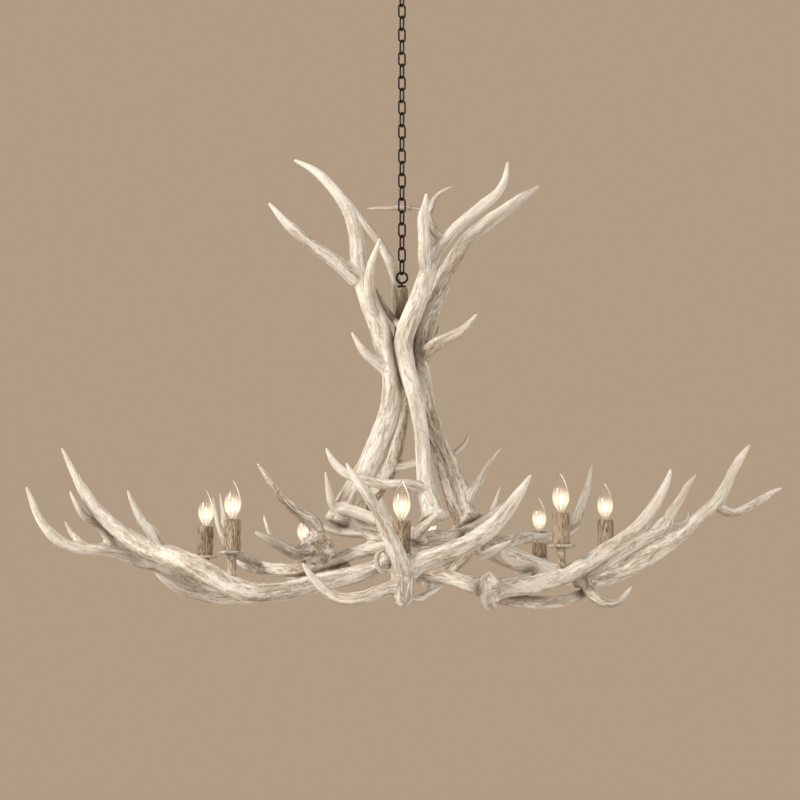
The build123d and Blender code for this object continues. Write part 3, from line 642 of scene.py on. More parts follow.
class BoneTrees:
    """The three Geometry Nodes trees that turn an antler's routes into bone."""

    web_rounds = 6
    stout_from, stout_at = 3 * MM, 12 * MM       # radii between which the relief grows to its full depth
    thin_at, thin_to = 3.5 * MM, 7.5 * MM        # radii between which the skin leaves its tube
    worn_from, worn_at = 0.55, 0.95              # shares of a branch between which grooves wear away
    length_share = 0.13                          # how much of a branch's length its flow keeps
    sway = (7 * MM, 7 * MM, 3 * MM)
    # Features per metre of each noise.
    sway_scale, patch_scale, wave_scale, knot_scale, bead_scale = 22.0, 14.0, 26.0, 85.0, 150.0
    # A noise fills only a part of 0 to 1, and these bring it to the height that is asked for.
    wave_gain, rib_gain, knot_gain, bead_gain = 2.4, 3.2, 2.0, 0.4

    def __init__(self) -> None:
        """Builds the trees once."""
        self.tubes = self._tubes()
        self.webs = self._webs()
        self.relief = self._relief()

    def _tubes(self) -> NodeTree:
        """Returns the tree that wraps smooth tubes round the routes and marks them."""
        tree = geometry_tree("bone_tubes", {"Step": 4 * MM, "Sides": 20})
        given = tree.given
        line = tree.get("GeometryNodeMeshToCurve", {"Mesh": given["Geometry"]})
        bent = tree.get("GeometryNodeCurveSplineType", {"Curve": line}, spline_type="CATMULL_ROM")
        fine = tree.get("GeometryNodeResampleCurve", {"Curve": bent, "Length": given["Step"]}, mode="LENGTH")
        circle = tree.get("GeometryNodeCurvePrimitiveCircle", {"Resolution": given["Sides"], "Radius": 1.0})
        rim = tree.store(circle, Attr.RIM, tree.position())
        return tree.close(tree.pipe(fine, tree.named(Attr.THICK), rim, True))

    def _webs(self) -> NodeTree:
        """Returns the tree that fills the creases of a skin, where a tine leaves its beam."""
        tree = geometry_tree("bone_webs", {"Spread": 8, "Gain": 1.7, "Sink": -1.1 * MM})
        skin, spot, normal = tree.given["Geometry"], tree.position(), tree.get("GeometryNodeInputNormal")
        for _ in range(self.web_rounds):
            hollow = tree.blurred(spot, tree.given["Spread"]) - spot
            outward = tree.math("MAXIMUM", tree.math("DOT_PRODUCT", hollow, normal), 0.0)
            skin = tree.moved(skin, Offset=normal * (outward * tree.given["Gain"]))
        return tree.close(tree.moved(skin, Offset=normal * tree.given["Sink"]))

    def _relief(self) -> NodeTree:
        """Returns the tree that cuts grooves, knobs and pearls into one skin."""
        tree = geometry_tree("bone_relief", {
            "Tubes": "Object", "Rounding": 6, "Groove Width": 9 * MM, "Groove Depth": 1.3 * MM,
            "Knob Height": 4 * MM, "Wave Height": 1.4 * MM, "Sink": -0.5 * MM, "Others": "Object",
            "Grime Reach": 26 * MM, "Girth": 16 * MM, "Settling": 2, "Low": "Vector", "High": "Vector",
        })
        given, here = tree.given, tree.position()
        tubes = tree.get("GeometryNodeObjectInfo", {"Object": given["Tubes"]}, "Geometry")
        skin = given["Geometry"]
        for name in (Attr.THICK, Attr.SHARE, Attr.ALONG, Attr.KNOB, Attr.PEARL, Attr.TONE, Attr.RIM):
            feeds = {"Mesh": tubes, "Value": tree.named(name), "Sample Position": here}
            near = tree.get("GeometryNodeSampleNearestSurface", feeds, "Value", data_type=name.kind)
            skin = tree.store(skin, name, near)

        # Round the voxel skin, and draw the thin tips back to their tubes.
        thick, share, rim = tree.named(Attr.THICK), tree.named(Attr.SHARE), tree.named(Attr.RIM)
        stout = tree.ramp(thick, self.stout_from, self.stout_at)
        smooth = tree.blurred(here, given["Rounding"], stout * 0.6 + 0.4)
        on_tube = tree.get("GeometryNodeProximity", {0: tubes}, "Position", target_element="FACES")
        thin = 1.0 - tree.ramp(thick, self.thin_at, self.thin_to)
        skin = tree.moved(skin, Position=smooth + (on_tube - smooth) * thin)

        # Mark how close another antler is, for the painted shade between antlers.
        others = tree.get("GeometryNodeObjectInfo", {"Object": given["Others"]}, "Geometry")
        gap = tree.get("GeometryNodeProximity", {0: others}, "Distance", target_element="FACES")
        close_by = 1.0 - tree.ramp(gap, 1 * MM, given["Grime Reach"])
        skin = tree.store(skin, Attr.GRIME, tree.math("POWER", close_by, 1.5))

        # The flow goes round with the girth and keeps a share of the length, and sways a little.
        spread = tree.math("SQRT", thick * given["Girth"])
        feeds = {"Vector": here, "Scale": self.sway_scale, "Detail": 1.0}
        sway = tree.get("ShaderNodeTexNoise", feeds, "Color") * self.sway
        length = tree.combine(z=tree.named(Attr.ALONG) * self.length_share)
        skin = tree.store(skin, Attr.FLOW, rim * tree.combine(spread, spread) + length + sway)
        flow = tree.named(Attr.FLOW)

        pitch = 1.0 / given["Groove Width"]
        off_middle = tree.math("ABSOLUTE", tree.noise(flow, pitch, 1.5, 0.5) - 0.5)
        worn = tree.ramp(share, self.worn_from, self.worn_at)
        groove = (1.0 - tree.ramp(off_middle, 0.0, 0.07)) * (1.0 - worn)
        patch = tree.ramp(tree.noise(here, self.patch_scale), 0.3, 0.62)
        skin = tree.store(skin, Attr.VALLEY, groove * (stout * patch))

        wave = tree.noise(here, self.wave_scale, 1.0) - 0.5
        ribs = tree.noise(flow, pitch * 0.5) - 0.5
        knots = tree.noise(here, self.knot_scale) - 0.42
        cells = {"Vector": here, "Scale": self.bead_scale}
        beads = 0.55 - tree.get("ShaderNodeTexVoronoi", cells, "Distance", feature="SMOOTH_F1")
        height = (stout * given["Sink"]
                  + wave * stout * (given["Wave Height"] * self.wave_gain)
                  + ribs * stout * (given["Groove Depth"] * self.rib_gain)
                  - tree.named(Attr.VALLEY) * given["Groove Depth"]
                  + knots * tree.named(Attr.KNOB) * (given["Knob Height"] * self.knot_gain)
                  + beads * tree.named(Attr.PEARL) * (given["Knob Height"] * self.bead_gain))
        skin = tree.moved(skin, Offset=tree.get("GeometryNodeInputNormal") * height)
        above = tree.math("MAXIMUM", tree.blurred(here, given["Settling"]), given["Low"])
        skin = tree.moved(skin, Position=tree.math("MINIMUM", above, given["High"]))
        for name in (Attr.RIM, Attr.ALONG):
            skin = tree.get("GeometryNodeRemoveAttribute", {"Geometry": skin, "Name": str(name)})
        return tree.close(skin)


@dataclass
class AntlerFrame:
    """The antlers and the post that they are fixed round."""

    ground: float                                # height of the routes' own zero, in metres
    bone: Material
    low: Vector                                  # corners of the box that nothing may leave
    high: Vector
    voxel: float = 2.1 * MM
    web_voxel: float = 4.5 * MM
    burr_length: float = 14 * MM
    burr_rings: Outline = ((-0.3, 0.72), (0.0, 0.96), (0.4, 1.0), (1.0, 0.7))
    burr_flare: float = 1.08
    blunt_from: float = 6 * MM                   # a branch that ends thicker gets a round end
    blunt_rings: Outline = ((0.45, 0.86), (0.8, 0.52), (0.92, 0.15))
    blunt_share: float = 0.4                     # how worn the round end of a beam is
    pearl_reach: float = 160 * MM                # how far the beads run up a beam
    branch_offset: float = 1.7                   # sets the patterns of two branches apart

    def _line(self, points: Sequence[Point]) -> list[tuple[Vector, float]]:
        """Returns a branch in the shared frame, round where it ends thick.

        Args:
            points: The branch's row in the table.

        Returns:
            Each place with its radius, in metres.
        """
        line = [(Vector((x * MM, y * MM, self.ground + z * MM)), radius * MM) for x, y, z, radius in points]
        (before, _), (end, radius) = line[-2:]
        if radius < self.blunt_from:
            return line
        ahead = (end - before).normalized() * radius
        return line + [(end + ahead * reach, radius * width) for reach, width in self.blunt_rings]

    def _burr(self, beam: Sequence[tuple[Vector, float]], radius: float) -> list[tuple[Vector, float]]:
        """Returns the flared crown at the root of a beam, as a line of its own."""
        root, ahead = beam[0][0], (beam[1][0] - beam[0][0]).normalized() * self.burr_length
        return [(root + ahead * share, radius * width * self.burr_flare) for share, width in self.burr_rings]

    def routes(self, name: str, form: Antler) -> Object:
        """Makes the edge mesh that carries one antler's routes and sizes.

        Args:
            name: Name of the antler.
            form: Its row in the table.

        Returns:
            A mesh of edges with an attribute for each size.
        """
        beam = self._line(form.beam)
        lines = [(beam, 1.0, self.pearl_reach)] + [(self._line(tine), 1.0, 0.0) for tine in form.tines]
        if form.burr:
            lines.append((self._burr(beam, form.burr * MM), 0.0, self.pearl_reach))
        blunt = form.beam[-1][3] * MM >= self.blunt_from
        longest = sum((b[0] - a[0]).length for a, b in zip(beam, beam[1:]))
        spots: list[Vector] = []
        edges: list[tuple[int, int]] = []
        kept = (Attr.THICK, Attr.ALONG, Attr.SHARE, Attr.KNOB, Attr.PEARL, Attr.TONE)
        marks: dict[Attr, list[float]] = {key: [] for key in kept}
        for number, (line, tip, reach) in enumerate(lines):
            total = sum((b[0] - a[0]).length for a, b in zip(line, line[1:]))
            run = 0.0
            for index, (spot, radius) in enumerate(line):
                if index:
                    run += (spot - line[index - 1][0]).length
                    edges.append((len(spots) - 1, len(spots)))
                spots.append(spot)
                worn = tip * (1 - (total - run) / max(total, longest * 0.35))
                row = (radius, run + self.branch_offset * number,
                       worn * self.blunt_share if blunt and not number else worn, 1.0 - tip,
                       max(0.0, 1 - run / reach) if reach else 0.0, form.tone)
                for key, value in zip(kept, row):
                    marks[key].append(value)
        mesh = bpy.data.meshes.new(name + "_routes")
        mesh.from_pydata(spots, edges, [])
        for key, values in marks.items():
            mesh.attributes.new(key, "FLOAT", "POINT").data.foreach_set("value", values)
        return linked(name + "_routes", mesh)

    def antler(self, name: str, tubes: dict[str, Object], trees: BoneTrees) -> None:
        """Grows one antler from its tubes and seats it on its node.

        Args:
            name: Name of the antler.
            tubes: The tubes of every antler, by name.
            trees: The Geometry Nodes trees.
        """
        mine = tubes[name]
        others = merged([twin(piece) for other, piece in tubes.items() if other != name], name + "_others")
        webs = grow(twin(mine), trees.webs, {"Material": self.bone}, name + "_webs", self.web_voxel)
        skin = merged([webs, twin(mine)], name + "_skin")
        settings = {"Tubes": mine, "Others": others, "Low": self.low, "High": self.high,
                    "Material": self.bone}
        place(grow(skin, trees.relief, settings, name + "_bone", self.voxel), name, "antler_frame")
        bpy.data.objects.remove(others)

    def build(self) -> None:
        """Grows every antler and the post."""
        trees = BoneTrees()
        tubes = {name: grow(self.routes(name, form), trees.tubes, {"Material": self.bone}, name + "_tubes")
                 for name, form in ANTLERS.items()}
        for name in ANTLERS:
            self.antler(name, tubes, trees)
        for piece in tubes.values():
            bpy.data.objects.remove(piece)


# ------------------------------------------------------------------ turned pieces


def turned(name: str, profile: Outline, centre: Vector, sides: int, material: Material,
           wobble: Optional[Wobble] = None) -> Object:
    """Turns a closed outline about an upright axis.

    Args:
        name: Name of the piece.
        profile: Corners of the outline, as radius and height; two of them may lie on the axis.
        centre: Where the axis and height zero are.
        sides: Steps round the axis.
        material: The piece's material.
        wobble: Takes angle, radius and height, and returns the radius to use.

    Returns:
        A closed mesh object with its normals outwards.
    """
    shape = bmesh.new()
    rings: list[list[bmesh.types.BMVert]] = []
    for radius, height in profile:
        if not radius:
            rings.append([shape.verts.new(centre + Vector((0, 0, height)))] * sides)
            continue
        ring = []
        for step in range(sides):
            angle = 2 * math.pi * step / sides
            reach = wobble(angle, radius, height) if wobble else radius
            spot = Vector((reach * math.cos(angle), reach * math.sin(angle), height))
            ring.append(shape.verts.new(centre + spot))
        rings.append(ring)
    for lower, upper in zip(rings, rings[1:] + rings[:1]):
        for step in range(sides):
            after = (step + 1) % sides
            corners = list(dict.fromkeys((lower[step], lower[after], upper[after], upper[step])))
            if len(corners) > 2:
                shape.faces.new(corners).smooth = True
    bmesh.ops.recalc_face_normals(shape, faces=shape.faces)
    return from_shape(name, shape, [material])


def rounded(points: Outline, radius: float, steps: int = 4) -> list[tuple[float, float]]:
    """Rounds the corners of a closed outline that are off the axis.

    Args:
        points: The outline's corners.
        radius: How far from a corner its arc may start.
        steps: Steps in each arc.

    Returns:
        The corners of the rounded outline.
    """
    result: list[tuple[float, float]] = []
    for index, corner in enumerate(points):
        if not corner[0]:
            result.append(corner)
            continue
        here = Vector(corner)
        before, after = Vector(points[index - 1]) - here, Vector(points[(index + 1) % len(points)]) - here
        reach = min(radius, before.length * 0.45, after.length * 0.45)
        first, last = here + before.normalized() * reach, here + after.normalized() * reach
        for step in range(steps + 1):
            share = step / steps
            spot = first * (1 - share) ** 2 + here * 2 * share * (1 - share) + last * share ** 2
            result.append((spot.x, spot.y))
    return result


def smooth_curve(points: Outline, steps: int) -> list[tuple[float, float]]:
    """Draws a smooth line through points.

    Args:
        points: The places that it runs through.
        steps: Steps in each stretch.

    Returns:
        Points along the line.
    """
    spots = [Vector(points[0]), *(Vector(point) for point in points), Vector(points[-1])]
    result: list[tuple[float, float]] = []
    for index in range(1, len(spots) - 2):
        a, b, c, d = spots[index - 1:index + 3]
        for step in range(steps):
            t = step / steps
            curl = (2 * a - 5 * b + 4 * c - d) * t ** 2 + (3 * b - a - 3 * c + d) * t ** 3
            spot = 0.5 * (2 * b + (c - a) * t + curl)
            result.append((max(spot.x, 0.0), spot.y))
    return [*result, tuple(points[-1])]


# ------------------------------------------------------------------ chain and ceiling set


@dataclass
class Metalwork:
    """The chain, the eye that it holds, and the ceiling set."""

    bronze: Material
    steel: Material
    link_wire: float = 3.8 * MM
    link_width: float = 18.5 * MM
    link_pitch: float = 26 * MM
    play: float = 0.3 * MM
    links_in_length: int = 4
    lengths: int = 6
    twist: float = math.radians(28)      # the chain hangs turned a little about its own axis
    weld: float = 0.12                   # how much thicker a link is at its weld
    loop_wire: float = 4.4 * MM
    loop_radius: float = 9.5 * MM
    collar_radius: float = 9 * MM
    collar_height: float = 12 * MM
    # Outline of the collar: radius and depth, as shares of its own.
    collar_steps: Outline = ((0, 0), (1, 0), (1, 0.3), (0.84, 0.36), (0.84, 0.5), (0.95, 0.56), (0.95, 0.72),
                             (0.4, 1), (0, 1))
    eye_radius: float = 11 * MM
    eye_neck: float = 6.7 * MM
    washer_radius: float = 9 * MM
    washer_height: float = 2 * MM
    shank_radius: float = 2.3 * MM
    shank_length: float = 30 * MM
    canopy_radius: float = 65 * MM
    canopy_depth: float = 32 * MM
    canopy_wall: float = 1.5 * MM
    canopy_bell: Outline = ((14, -32), (24, -30.2), (36, -26.6), (45, -20.6), (52, -14.2), (58.5, -10.4),
                            (64, -8.2))
    nipple_radius: float = 5.1 * MM

    def __post_init__(self) -> None:
        """Builds the tree that bends wire, and works out the heights of the chain."""
        self.loops = self._loops()
        seat = (self.loop_wire + self.link_wire) / 2 + self.play
        self.loop_top = 2 * self.loop_radius - (self.canopy_depth + self.collar_height + 2 * self.loop_radius)
        self.first_bar = self.loop_top - 2 * self.loop_radius + seat
        self.bar_length = self.link_pitch + self.link_wire + self.play
        count = self.lengths * self.links_in_length
        self.eye_top = self.first_bar - (count - 1) * self.link_pitch - self.bar_length + seat

    def _loops(self) -> NodeTree:
        """Returns the tree that sets wire loops one under the other, each turned from the last."""
        tree = geometry_tree("wire_loops", {
            "Count": 1, "Top": 0.0, "Pitch": 26 * MM, "Bend": 7 * MM, "Straight": 10 * MM,
            "Wire": 1.9 * MM, "First Turn": 0.0, "Weld": 0.0,
        })
        given, bend, straight = tree.given, tree.given["Bend"], tree.given["Straight"]
        ring = tree.get("GeometryNodeCurvePrimitiveCircle", {"Resolution": 48, "Radius": bend})
        flat = tree.add("ShaderNodeSeparateXYZ", {0: tree.position()})
        across, up = (Value(tree, flat.outputs[axis]) for axis in "XY")
        shift = straight * (tree.math("GREATER_THAN", up, 0.0) - 1.0)
        path = tree.moved(ring, Position=tree.combine(across, z=up + shift - bend))
        even = tree.get("GeometryNodeResampleCurve", {"Curve": path, "Count": 60})
        bent = tree.add("ShaderNodeSeparateXYZ", {0: tree.position()})
        across, up = (Value(tree, bent.outputs[axis]) for axis in "XZ")
        off_seam = tree.math("ABSOLUTE", up + (bend + straight * 0.5))
        seam = tree.math("GREATER_THAN", across, 0.0) * (1.0 - tree.ramp(off_seam, 0.4 * MM, 1.8 * MM))
        section = tree.get("GeometryNodeCurvePrimitiveCircle", {"Resolution": 14, "Radius": 1.0})
        loop = tree.pipe(even, given["Wire"] * (1.0 + seam * given["Weld"]), section, False)
        spots = tree.get("GeometryNodeMeshLine", {
            "Count": given["Count"], "Start Location": tree.combine(z=given["Top"]),
            "Offset": tree.combine(z=given["Pitch"] * -1.0),
        })
        turn = given["First Turn"] + tree.get("GeometryNodeInputIndex") * (math.pi / 2)
        feeds = {"Points": spots, "Instance": loop, "Rotation": tree.combine(z=turn)}
        return tree.close(tree.get("GeometryNodeInstanceOnPoints", feeds))

    def _bend(self, name: str, values: dict[str, Any]) -> Object:
        """Returns wire loops with the given sizes."""
        seed = linked(name + "_seed", bpy.data.meshes.new(name + "_seed"))
        return grow(seed, self.loops, {**values, "Material": self.bronze}, name)

    def _ringed(self, name: str, ring: dict[str, Any], outline: Outline, top: float) -> Object:
        """Makes a ring of loop wire with a turned stalk.

        Args:
            name: Name of the piece.
            ring: The sizes of the ring.
            outline: The outline of the stalk.
            top: Height zero of the outline.

        Returns:
            The two in one piece.
        """
        loop = self._bend(name + "_ring", {"Straight": 0.0, "Wire": self.loop_wire / 2, **ring})
        return merged([loop, turned(name + "_stalk", outline, Vector((0, 0, top)), 40, self.bronze)], name)

    def chain(self) -> None:
        """Bends the links of each length of chain."""
        bend = (self.link_width - self.link_wire) / 2
        for length in range(self.lengths):
            first = length * self.links_in_length
            links = self._bend(f"links_{length + 1}", {
                "Count": self.links_in_length, "Top": self.first_bar - first * self.link_pitch,
                "Pitch": self.link_pitch, "Bend": bend, "Straight": self.bar_length - 2 * bend,
                "Wire": self.link_wire / 2, "First Turn": self.twist + first % 2 * math.pi / 2,
                "Weld": self.weld,
            })
            place(links, f"chain_{length + 1}", f"chain_{length + 1}")

    def eye(self) -> None:
        """Makes the eye, its neck and washer, and the shank in the post."""
        neck, low = -self.eye_neck, -self.eye_neck - self.washer_height
        end = low - self.shank_length
        shank, washer = self.shank_radius, self.washer_radius
        outline = rounded([
            (0, 1 * MM), (shank, 1 * MM), (shank, neck + 2 * MM), (2 * shank, neck + 0.4 * MM),
            (washer, neck), (washer, low), (shank, low), (shank, end), (0, end),
        ], 0.8 * MM)
        ring = {"Top": self.eye_top, "Bend": self.eye_radius}
        eye = self._ringed("eye", ring, outline, self.eye_top - 2 * self.eye_radius)
        place(eye, "hanging_eye", "antler_frame")

    def ceiling_set(self) -> None:
        """Makes the canopy and the loop under it, and gives the steel parts their finish."""
        radius, depth, wall = self.canopy_radius, self.canopy_depth, self.canopy_wall
        bore = self.nipple_radius
        outer = smooth_curve([(r * MM, z * MM) for r, z in self.canopy_bell], 5)
        inner = [(r - wall, z + wall) for r, z in outer]
        rim = [(radius, -7.4 * MM), (radius, -0.6 * MM), (radius - 0.6 * MM, 0.0), (radius - wall, 0.0),
               (radius - wall - 0.4 * MM, -6.5 * MM)]
        outline = [(bore, -depth), *outer, *rim, *inner[::-1], (bore, wall - depth)]
        canopy = turned("canopy_bell", outline, Vector(), 96, self.bronze)
        place(canopy, "canopy", "ceiling_set")

        collar, height = self.collar_radius, self.collar_height
        outline = rounded([(r * collar, -z * height) for r, z in self.collar_steps], 0.7 * MM)
        ring = {"Top": self.loop_top, "Bend": self.loop_radius, "First Turn": math.pi / 2}
        place(self._ringed("loop", ring, outline, -depth), "canopy_loop", "ceiling_set")
        for name in ("crossbar", "nipple", "lock_nut"):
            self._dress(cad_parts[name])

    def _dress(self, node: Object) -> None:
        """Gives a carried-over node the steel finish in every slot."""
        if not node.material_slots:
            node.data.materials.append(self.steel)
        for slot in node.material_slots:
            slot.material = self.steel

    def build(self) -> None:
        """Makes all the metalwork."""
        self.chain()
        self.eye()
        self.ceiling_set()


# ------------------------------------------------------------------ candle lights


@dataclass
class CandleLights:
    """The eight lights: stem, burr pan, socket and bark sleeve, with the bulb that stands in it."""

    finishes: dict[str, Material]
    count: int = 8
    sleeve_radius: float = 17 * MM
    sleeve_bore: float = 12 * MM
    sleeve_lip: float = 1.2 * MM
    pan_radius: float = 28 * MM
    pan_height: float = 5.5 * MM
    pan_floor: float = 2 * MM
    stem_radius: float = 9 * MM
    socket_radius: float = 9.6 * MM
    socket_bore: float = 6.6 * MM
    socket_drop: float = 3 * MM
    shank_radius: float = 4.6 * MM
    shank_length: float = 10 * MM
    cap_radius: float = 5.9 * MM
    cap_height: float = 20 * MM
    thread_pitch: float = 2.4 * MM
    thread_depth: float = 0.55 * MM
    bark_ridge: float = 5.5 * MM         # distance between two ridges of the sleeve's bark
    bark_bite: float = 1.9 * MM
    knob_ridge: float = 4.5 * MM
    knob_bite: float = 3.2 * MM
    stem_bite: float = 1.3 * MM
    coil_turns: int = 8
    coil_radius: float = 1.9 * MM
    coil_foot: float = 17 * MM
    coil_rise: float = 15 * MM
    coil_wire: float = 0.75 * MM
    lead_wire: float = 0.22 * MM
    glass_wall: float = 0.7 * MM
    # Outline of the glass: radius, and height above the sleeve's mouth, in millimetres.
    glass: Outline = (
        (5.8, -2.9), (6.2, 1), (7.6, 5.5), (10.6, 11), (13.7, 17), (15.4, 24), (15.7, 31), (14.9, 38),
        (12.8, 46), (9.9, 54), (6.8, 61), (3.8, 67), (1.7, 71.5), (0.75, 73.6),
    )

    def _seats(self) -> list[tuple[Vector, float, float]]:
        """Returns each light's mouth, the height of its pan, and the lowest point of its stem."""
        stems = [vertex.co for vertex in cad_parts["candle_stems"].data.vertices]
        seats = []
        for number in range(1, self.count + 1):
            low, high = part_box(f"candle_sleeve_{number}")
            mouth = Vector(((low.x + high.x) / 2, (low.y + high.y) / 2, high.z))
            mine = [spot.z for spot in stems if (spot.xy - mouth.xy).length < 2 * self.stem_radius]
            seats.append((mouth, low.z - self.pan_floor, min(mine)))
        return seats

    def _rough(self, number: int, ridge: float, strength: float, stretch: float, beyond: float) -> Wobble:
        """Makes a wobble that bites into a turned piece like bark.

        Args:
            number: Which light it is for, so that no two are alike.
            ridge: Distance between two ridges, in metres.
            strength: Deepest bite, in metres.
            stretch: How far a ridge runs for its width.
            beyond: Radius up to which the piece stays even.

        Returns:
            A function of angle, radius and height, for turned.
        """
        offset = Vector((17.3 * number, 5.1 * number, 2.7 * number))

        def wobble(angle: float, radius: float, height: float) -> float:
            """Returns the rough radius at an angle and a height."""
            if radius <= beyond:
                return radius
            spot = Vector((radius * math.cos(angle), radius * math.sin(angle), height / stretch)) / ridge
            crest = 1 - abs(noise.noise(spot + offset)) * 2.2
            lump = noise.noise(spot * 0.4 + offset)
            return radius - strength * (0.55 * max(0.0, min(1.0, crest)) + 0.45 * (0.5 + 0.5 * lump))

        return wobble

    def sleeve(self, number: int, mouth: Vector, foot: float) -> None:
        """Makes a bark sleeve with a bore for its socket.

        Args:
            number: Which light it is for.
            mouth: The middle of its upper edge.
            foot: How far its lower edge lies above the mouth, a negative height.
        """
        outer, bore, lip, rows = self.sleeve_radius, self.sleeve_bore, self.sleeve_lip, 44
        wall = [(outer, foot + lip + (-lip * 2 - foot) * row / rows) for row in range(rows + 1)]
        outline = [(bore, foot), (outer - lip, foot), *wall, (outer - lip, -0.2 * MM), (bore + lip, 0),
                   (bore, -lip)]
        bark = self._rough(number, self.bark_ridge, self.bark_bite, 7.0, bore + 1.5 * MM)
        sleeve = turned(f"sleeve_{number}", outline, mouth, 96, self.finishes["bark"], bark)
        place(sleeve, f"candle_sleeve_{number}", "antler_frame")

    def pan(self, number: int, seat: Vector) -> Object:
        """Makes a knobbly burr that the sleeve stands in.

        Args:
            number: Which light it is for.
            seat: The middle of its underside.

        Returns:
            The burr.
        """
        radius, height, floor = self.pan_radius, self.pan_height, self.pan_floor
        shank, sleeve = self.shank_radius, self.sleeve_radius
        outline = rounded([
            (shank, 0), (radius * 0.72, 0), (radius * 0.98, height * 0.25), (radius, height * 0.62),
            (radius * 0.93, height), (sleeve + 0.4 * MM, height * 0.9), (sleeve + 0.2 * MM, floor),
            (shank, floor),
        ], 2 * MM, 5)
        knobs = self._rough(number + 20, self.knob_ridge, self.knob_bite, 1.0, sleeve + 2 * MM)
        return turned(f"pan_{number}", outline, seat, 120, self.finishes["pan"], knobs)

    def stem(self, number: int, seat: Vector, foot: float) -> Object:
        """Makes a short stick of antler that runs down into the beam under the light.

        Args:
            number: Which light it is for.
            seat: The middle of its top, under the pan.
            foot: The height of the lowest place of its solid.

        Returns:
            The stick.
        """
        length = seat.z - foot + 4 * MM
        radius, rows = self.stem_radius, 16
        side = [(radius * (1.0 + 0.16 * math.exp(-row / 1.5)), -length * row / rows)
                for row in range(1, rows + 1)]
        outline = [(0, 0), (radius * 0.8, 0), (radius * 1.2, -0.8 * MM), *side, (0, -length)]
        grain = self._rough(number + 40, self.knob_ridge, self.stem_bite, 6.0, radius / 2)
        return turned(f"stem_{number}", outline, seat, 48, self.finishes["stem"], grain)

    def socket(self, number: int, mouth: Vector, floor: float) -> Object:
        """Makes a dark lamp socket with its shank.

        Args:
            number: Which light it is for.
            mouth: The middle of the sleeve's upper edge.
            floor: Height of the pan's floor above the mouth, a negative one.

        Returns:
            The socket.
        """
        top, waist = -self.socket_drop, self.socket_radius * 0.93
        depth, end = top - self.cap_height - 2 * MM, floor - self.shank_length
        outer, bore, shank = self.socket_radius, self.socket_bore, self.shank_radius
        outline = rounded([
            (0, depth), (bore, depth), (bore, top), (outer, top), (outer, top - 5 * MM),
            (waist, top - 6 * MM), (waist, floor), (shank, floor), (shank, end), (0, end),
        ], 0.5 * MM, 3)
        return turned(f"socket_{number}", outline, mouth, 40, self.finishes["socket"])

    def cap(self, number: int, mouth: Vector) -> None:
        """Makes a bulb's brass screw cap with its thread and contact.

        Args:
            number: Which light it is for.
            mouth: The middle of the sleeve's upper edge.
        """
        radius, rows = self.cap_radius, 72
        top, low = -self.socket_drop - 0.2 * MM, -self.socket_drop - self.cap_height
        side = [(radius, low + 1 * MM + (top - low - 1 * MM) * row / rows) for row in range(rows + 1)]
        outline = [(0, low - 1.2 * MM), (radius * 0.3, low - 1.0 * MM), (radius * 0.4, low), *side, (0, top)]

        def thread(angle: float, reach: float, height: float) -> float:
            """Returns the radius of the rolled thread at an angle and a height."""
            if reach < radius * 0.9:
                return reach
            fade = min(1.0, (top - height) / (4 * MM), (height - low) / (2 * MM))
            wave = math.sin(2 * math.pi * height / self.thread_pitch + angle)
            return radius - self.thread_depth * (0.5 - 0.5 * wave) * max(0.0, fade)

        cap = turned(f"cap_{number}", outline, mouth, 48, self.finishes["brass"], thread)
        place(cap, f"bulb_cap_{number}", f"bulb_{number}")

    def glass_shell(self, number: int, mouth: Vector) -> None:
        """Makes the clear glass as a thin shell.

        Args:
            number: Which light it is for.
            mouth: The middle of the sleeve's upper edge.
        """
        outer = smooth_curve([(r * MM, z * MM) for r, z in self.glass], 4)
        wall, crown = self.glass_wall, outer[-1][1] + 0.35 * MM
        inner = [(max(r - wall, 0.3 * MM), min(z + 0.3 * MM, crown - 1.6 * MM))
                 for r, z in outer if z < crown - 3 * MM]
        foot = (outer[0][0] - wall, outer[0][1])
        outline = [*outer, (0, crown), (0, crown - 2.2 * MM), *inner[::-1], foot]
        shell = turned(f"glass_{number}", outline, mouth, 56, self.finishes["glass"])
        rises = [vertex.co.z - mouth.z for vertex in shell.data.vertices]
        shell.data.attributes.new(Attr.RISE, "FLOAT", "POINT").data.foreach_set("value", rises)
        place(shell, f"bulb_glass_{number}", f"bulb_{number}")

    def filament(self, number: int, mouth: Vector) -> None:
        """Makes the glowing coil, its lead wires and the glass mount that holds them.

        Args:
            number: Which light it is for.
            mouth: The middle of the sleeve's upper edge.
        """
        profile = ((0, -2.6), (3.6, -2.6), (2.2, 4), (1.5, 10), (1.9, 12), (0, 13))
        outline = rounded([(r * MM, z * MM) for r, z in profile], 1 * MM)
        mount = turned(f"mount_{number}", outline, mouth, 24, self.finishes["glass"])
        place(mount, None, f"bulb_{number}")
        per_turn, coil = 12, []
        for step in range(self.coil_turns * per_turn + 1):
            angle, rise = 2 * math.pi * step / per_turn, self.coil_rise * step / (self.coil_turns * per_turn)
            across, along = math.cos(angle) * self.coil_radius, math.sin(angle) * self.coil_radius
            coil.append(Vector((across, along, self.coil_foot + rise)))
        wires = [(f"filament_{number}", coil, self.coil_wire, "glow")]
        for index, (side, end) in enumerate(((1, coil[0]), (-1, coil[-1])), start=1):
            lead = [Vector((side * 1.0 * MM, 0, 10 * MM)), Vector((side * 2.6 * MM, 0, 16 * MM)), end]
            wires.append((f"lead_{number}_{index}", lead, self.lead_wire, "brass"))
        for name, path, radius, finish in wires:
            piece = wire(name, [mouth + spot for spot in path], radius, self.finishes[finish])
            place(piece, None, f"bulb_{number}")

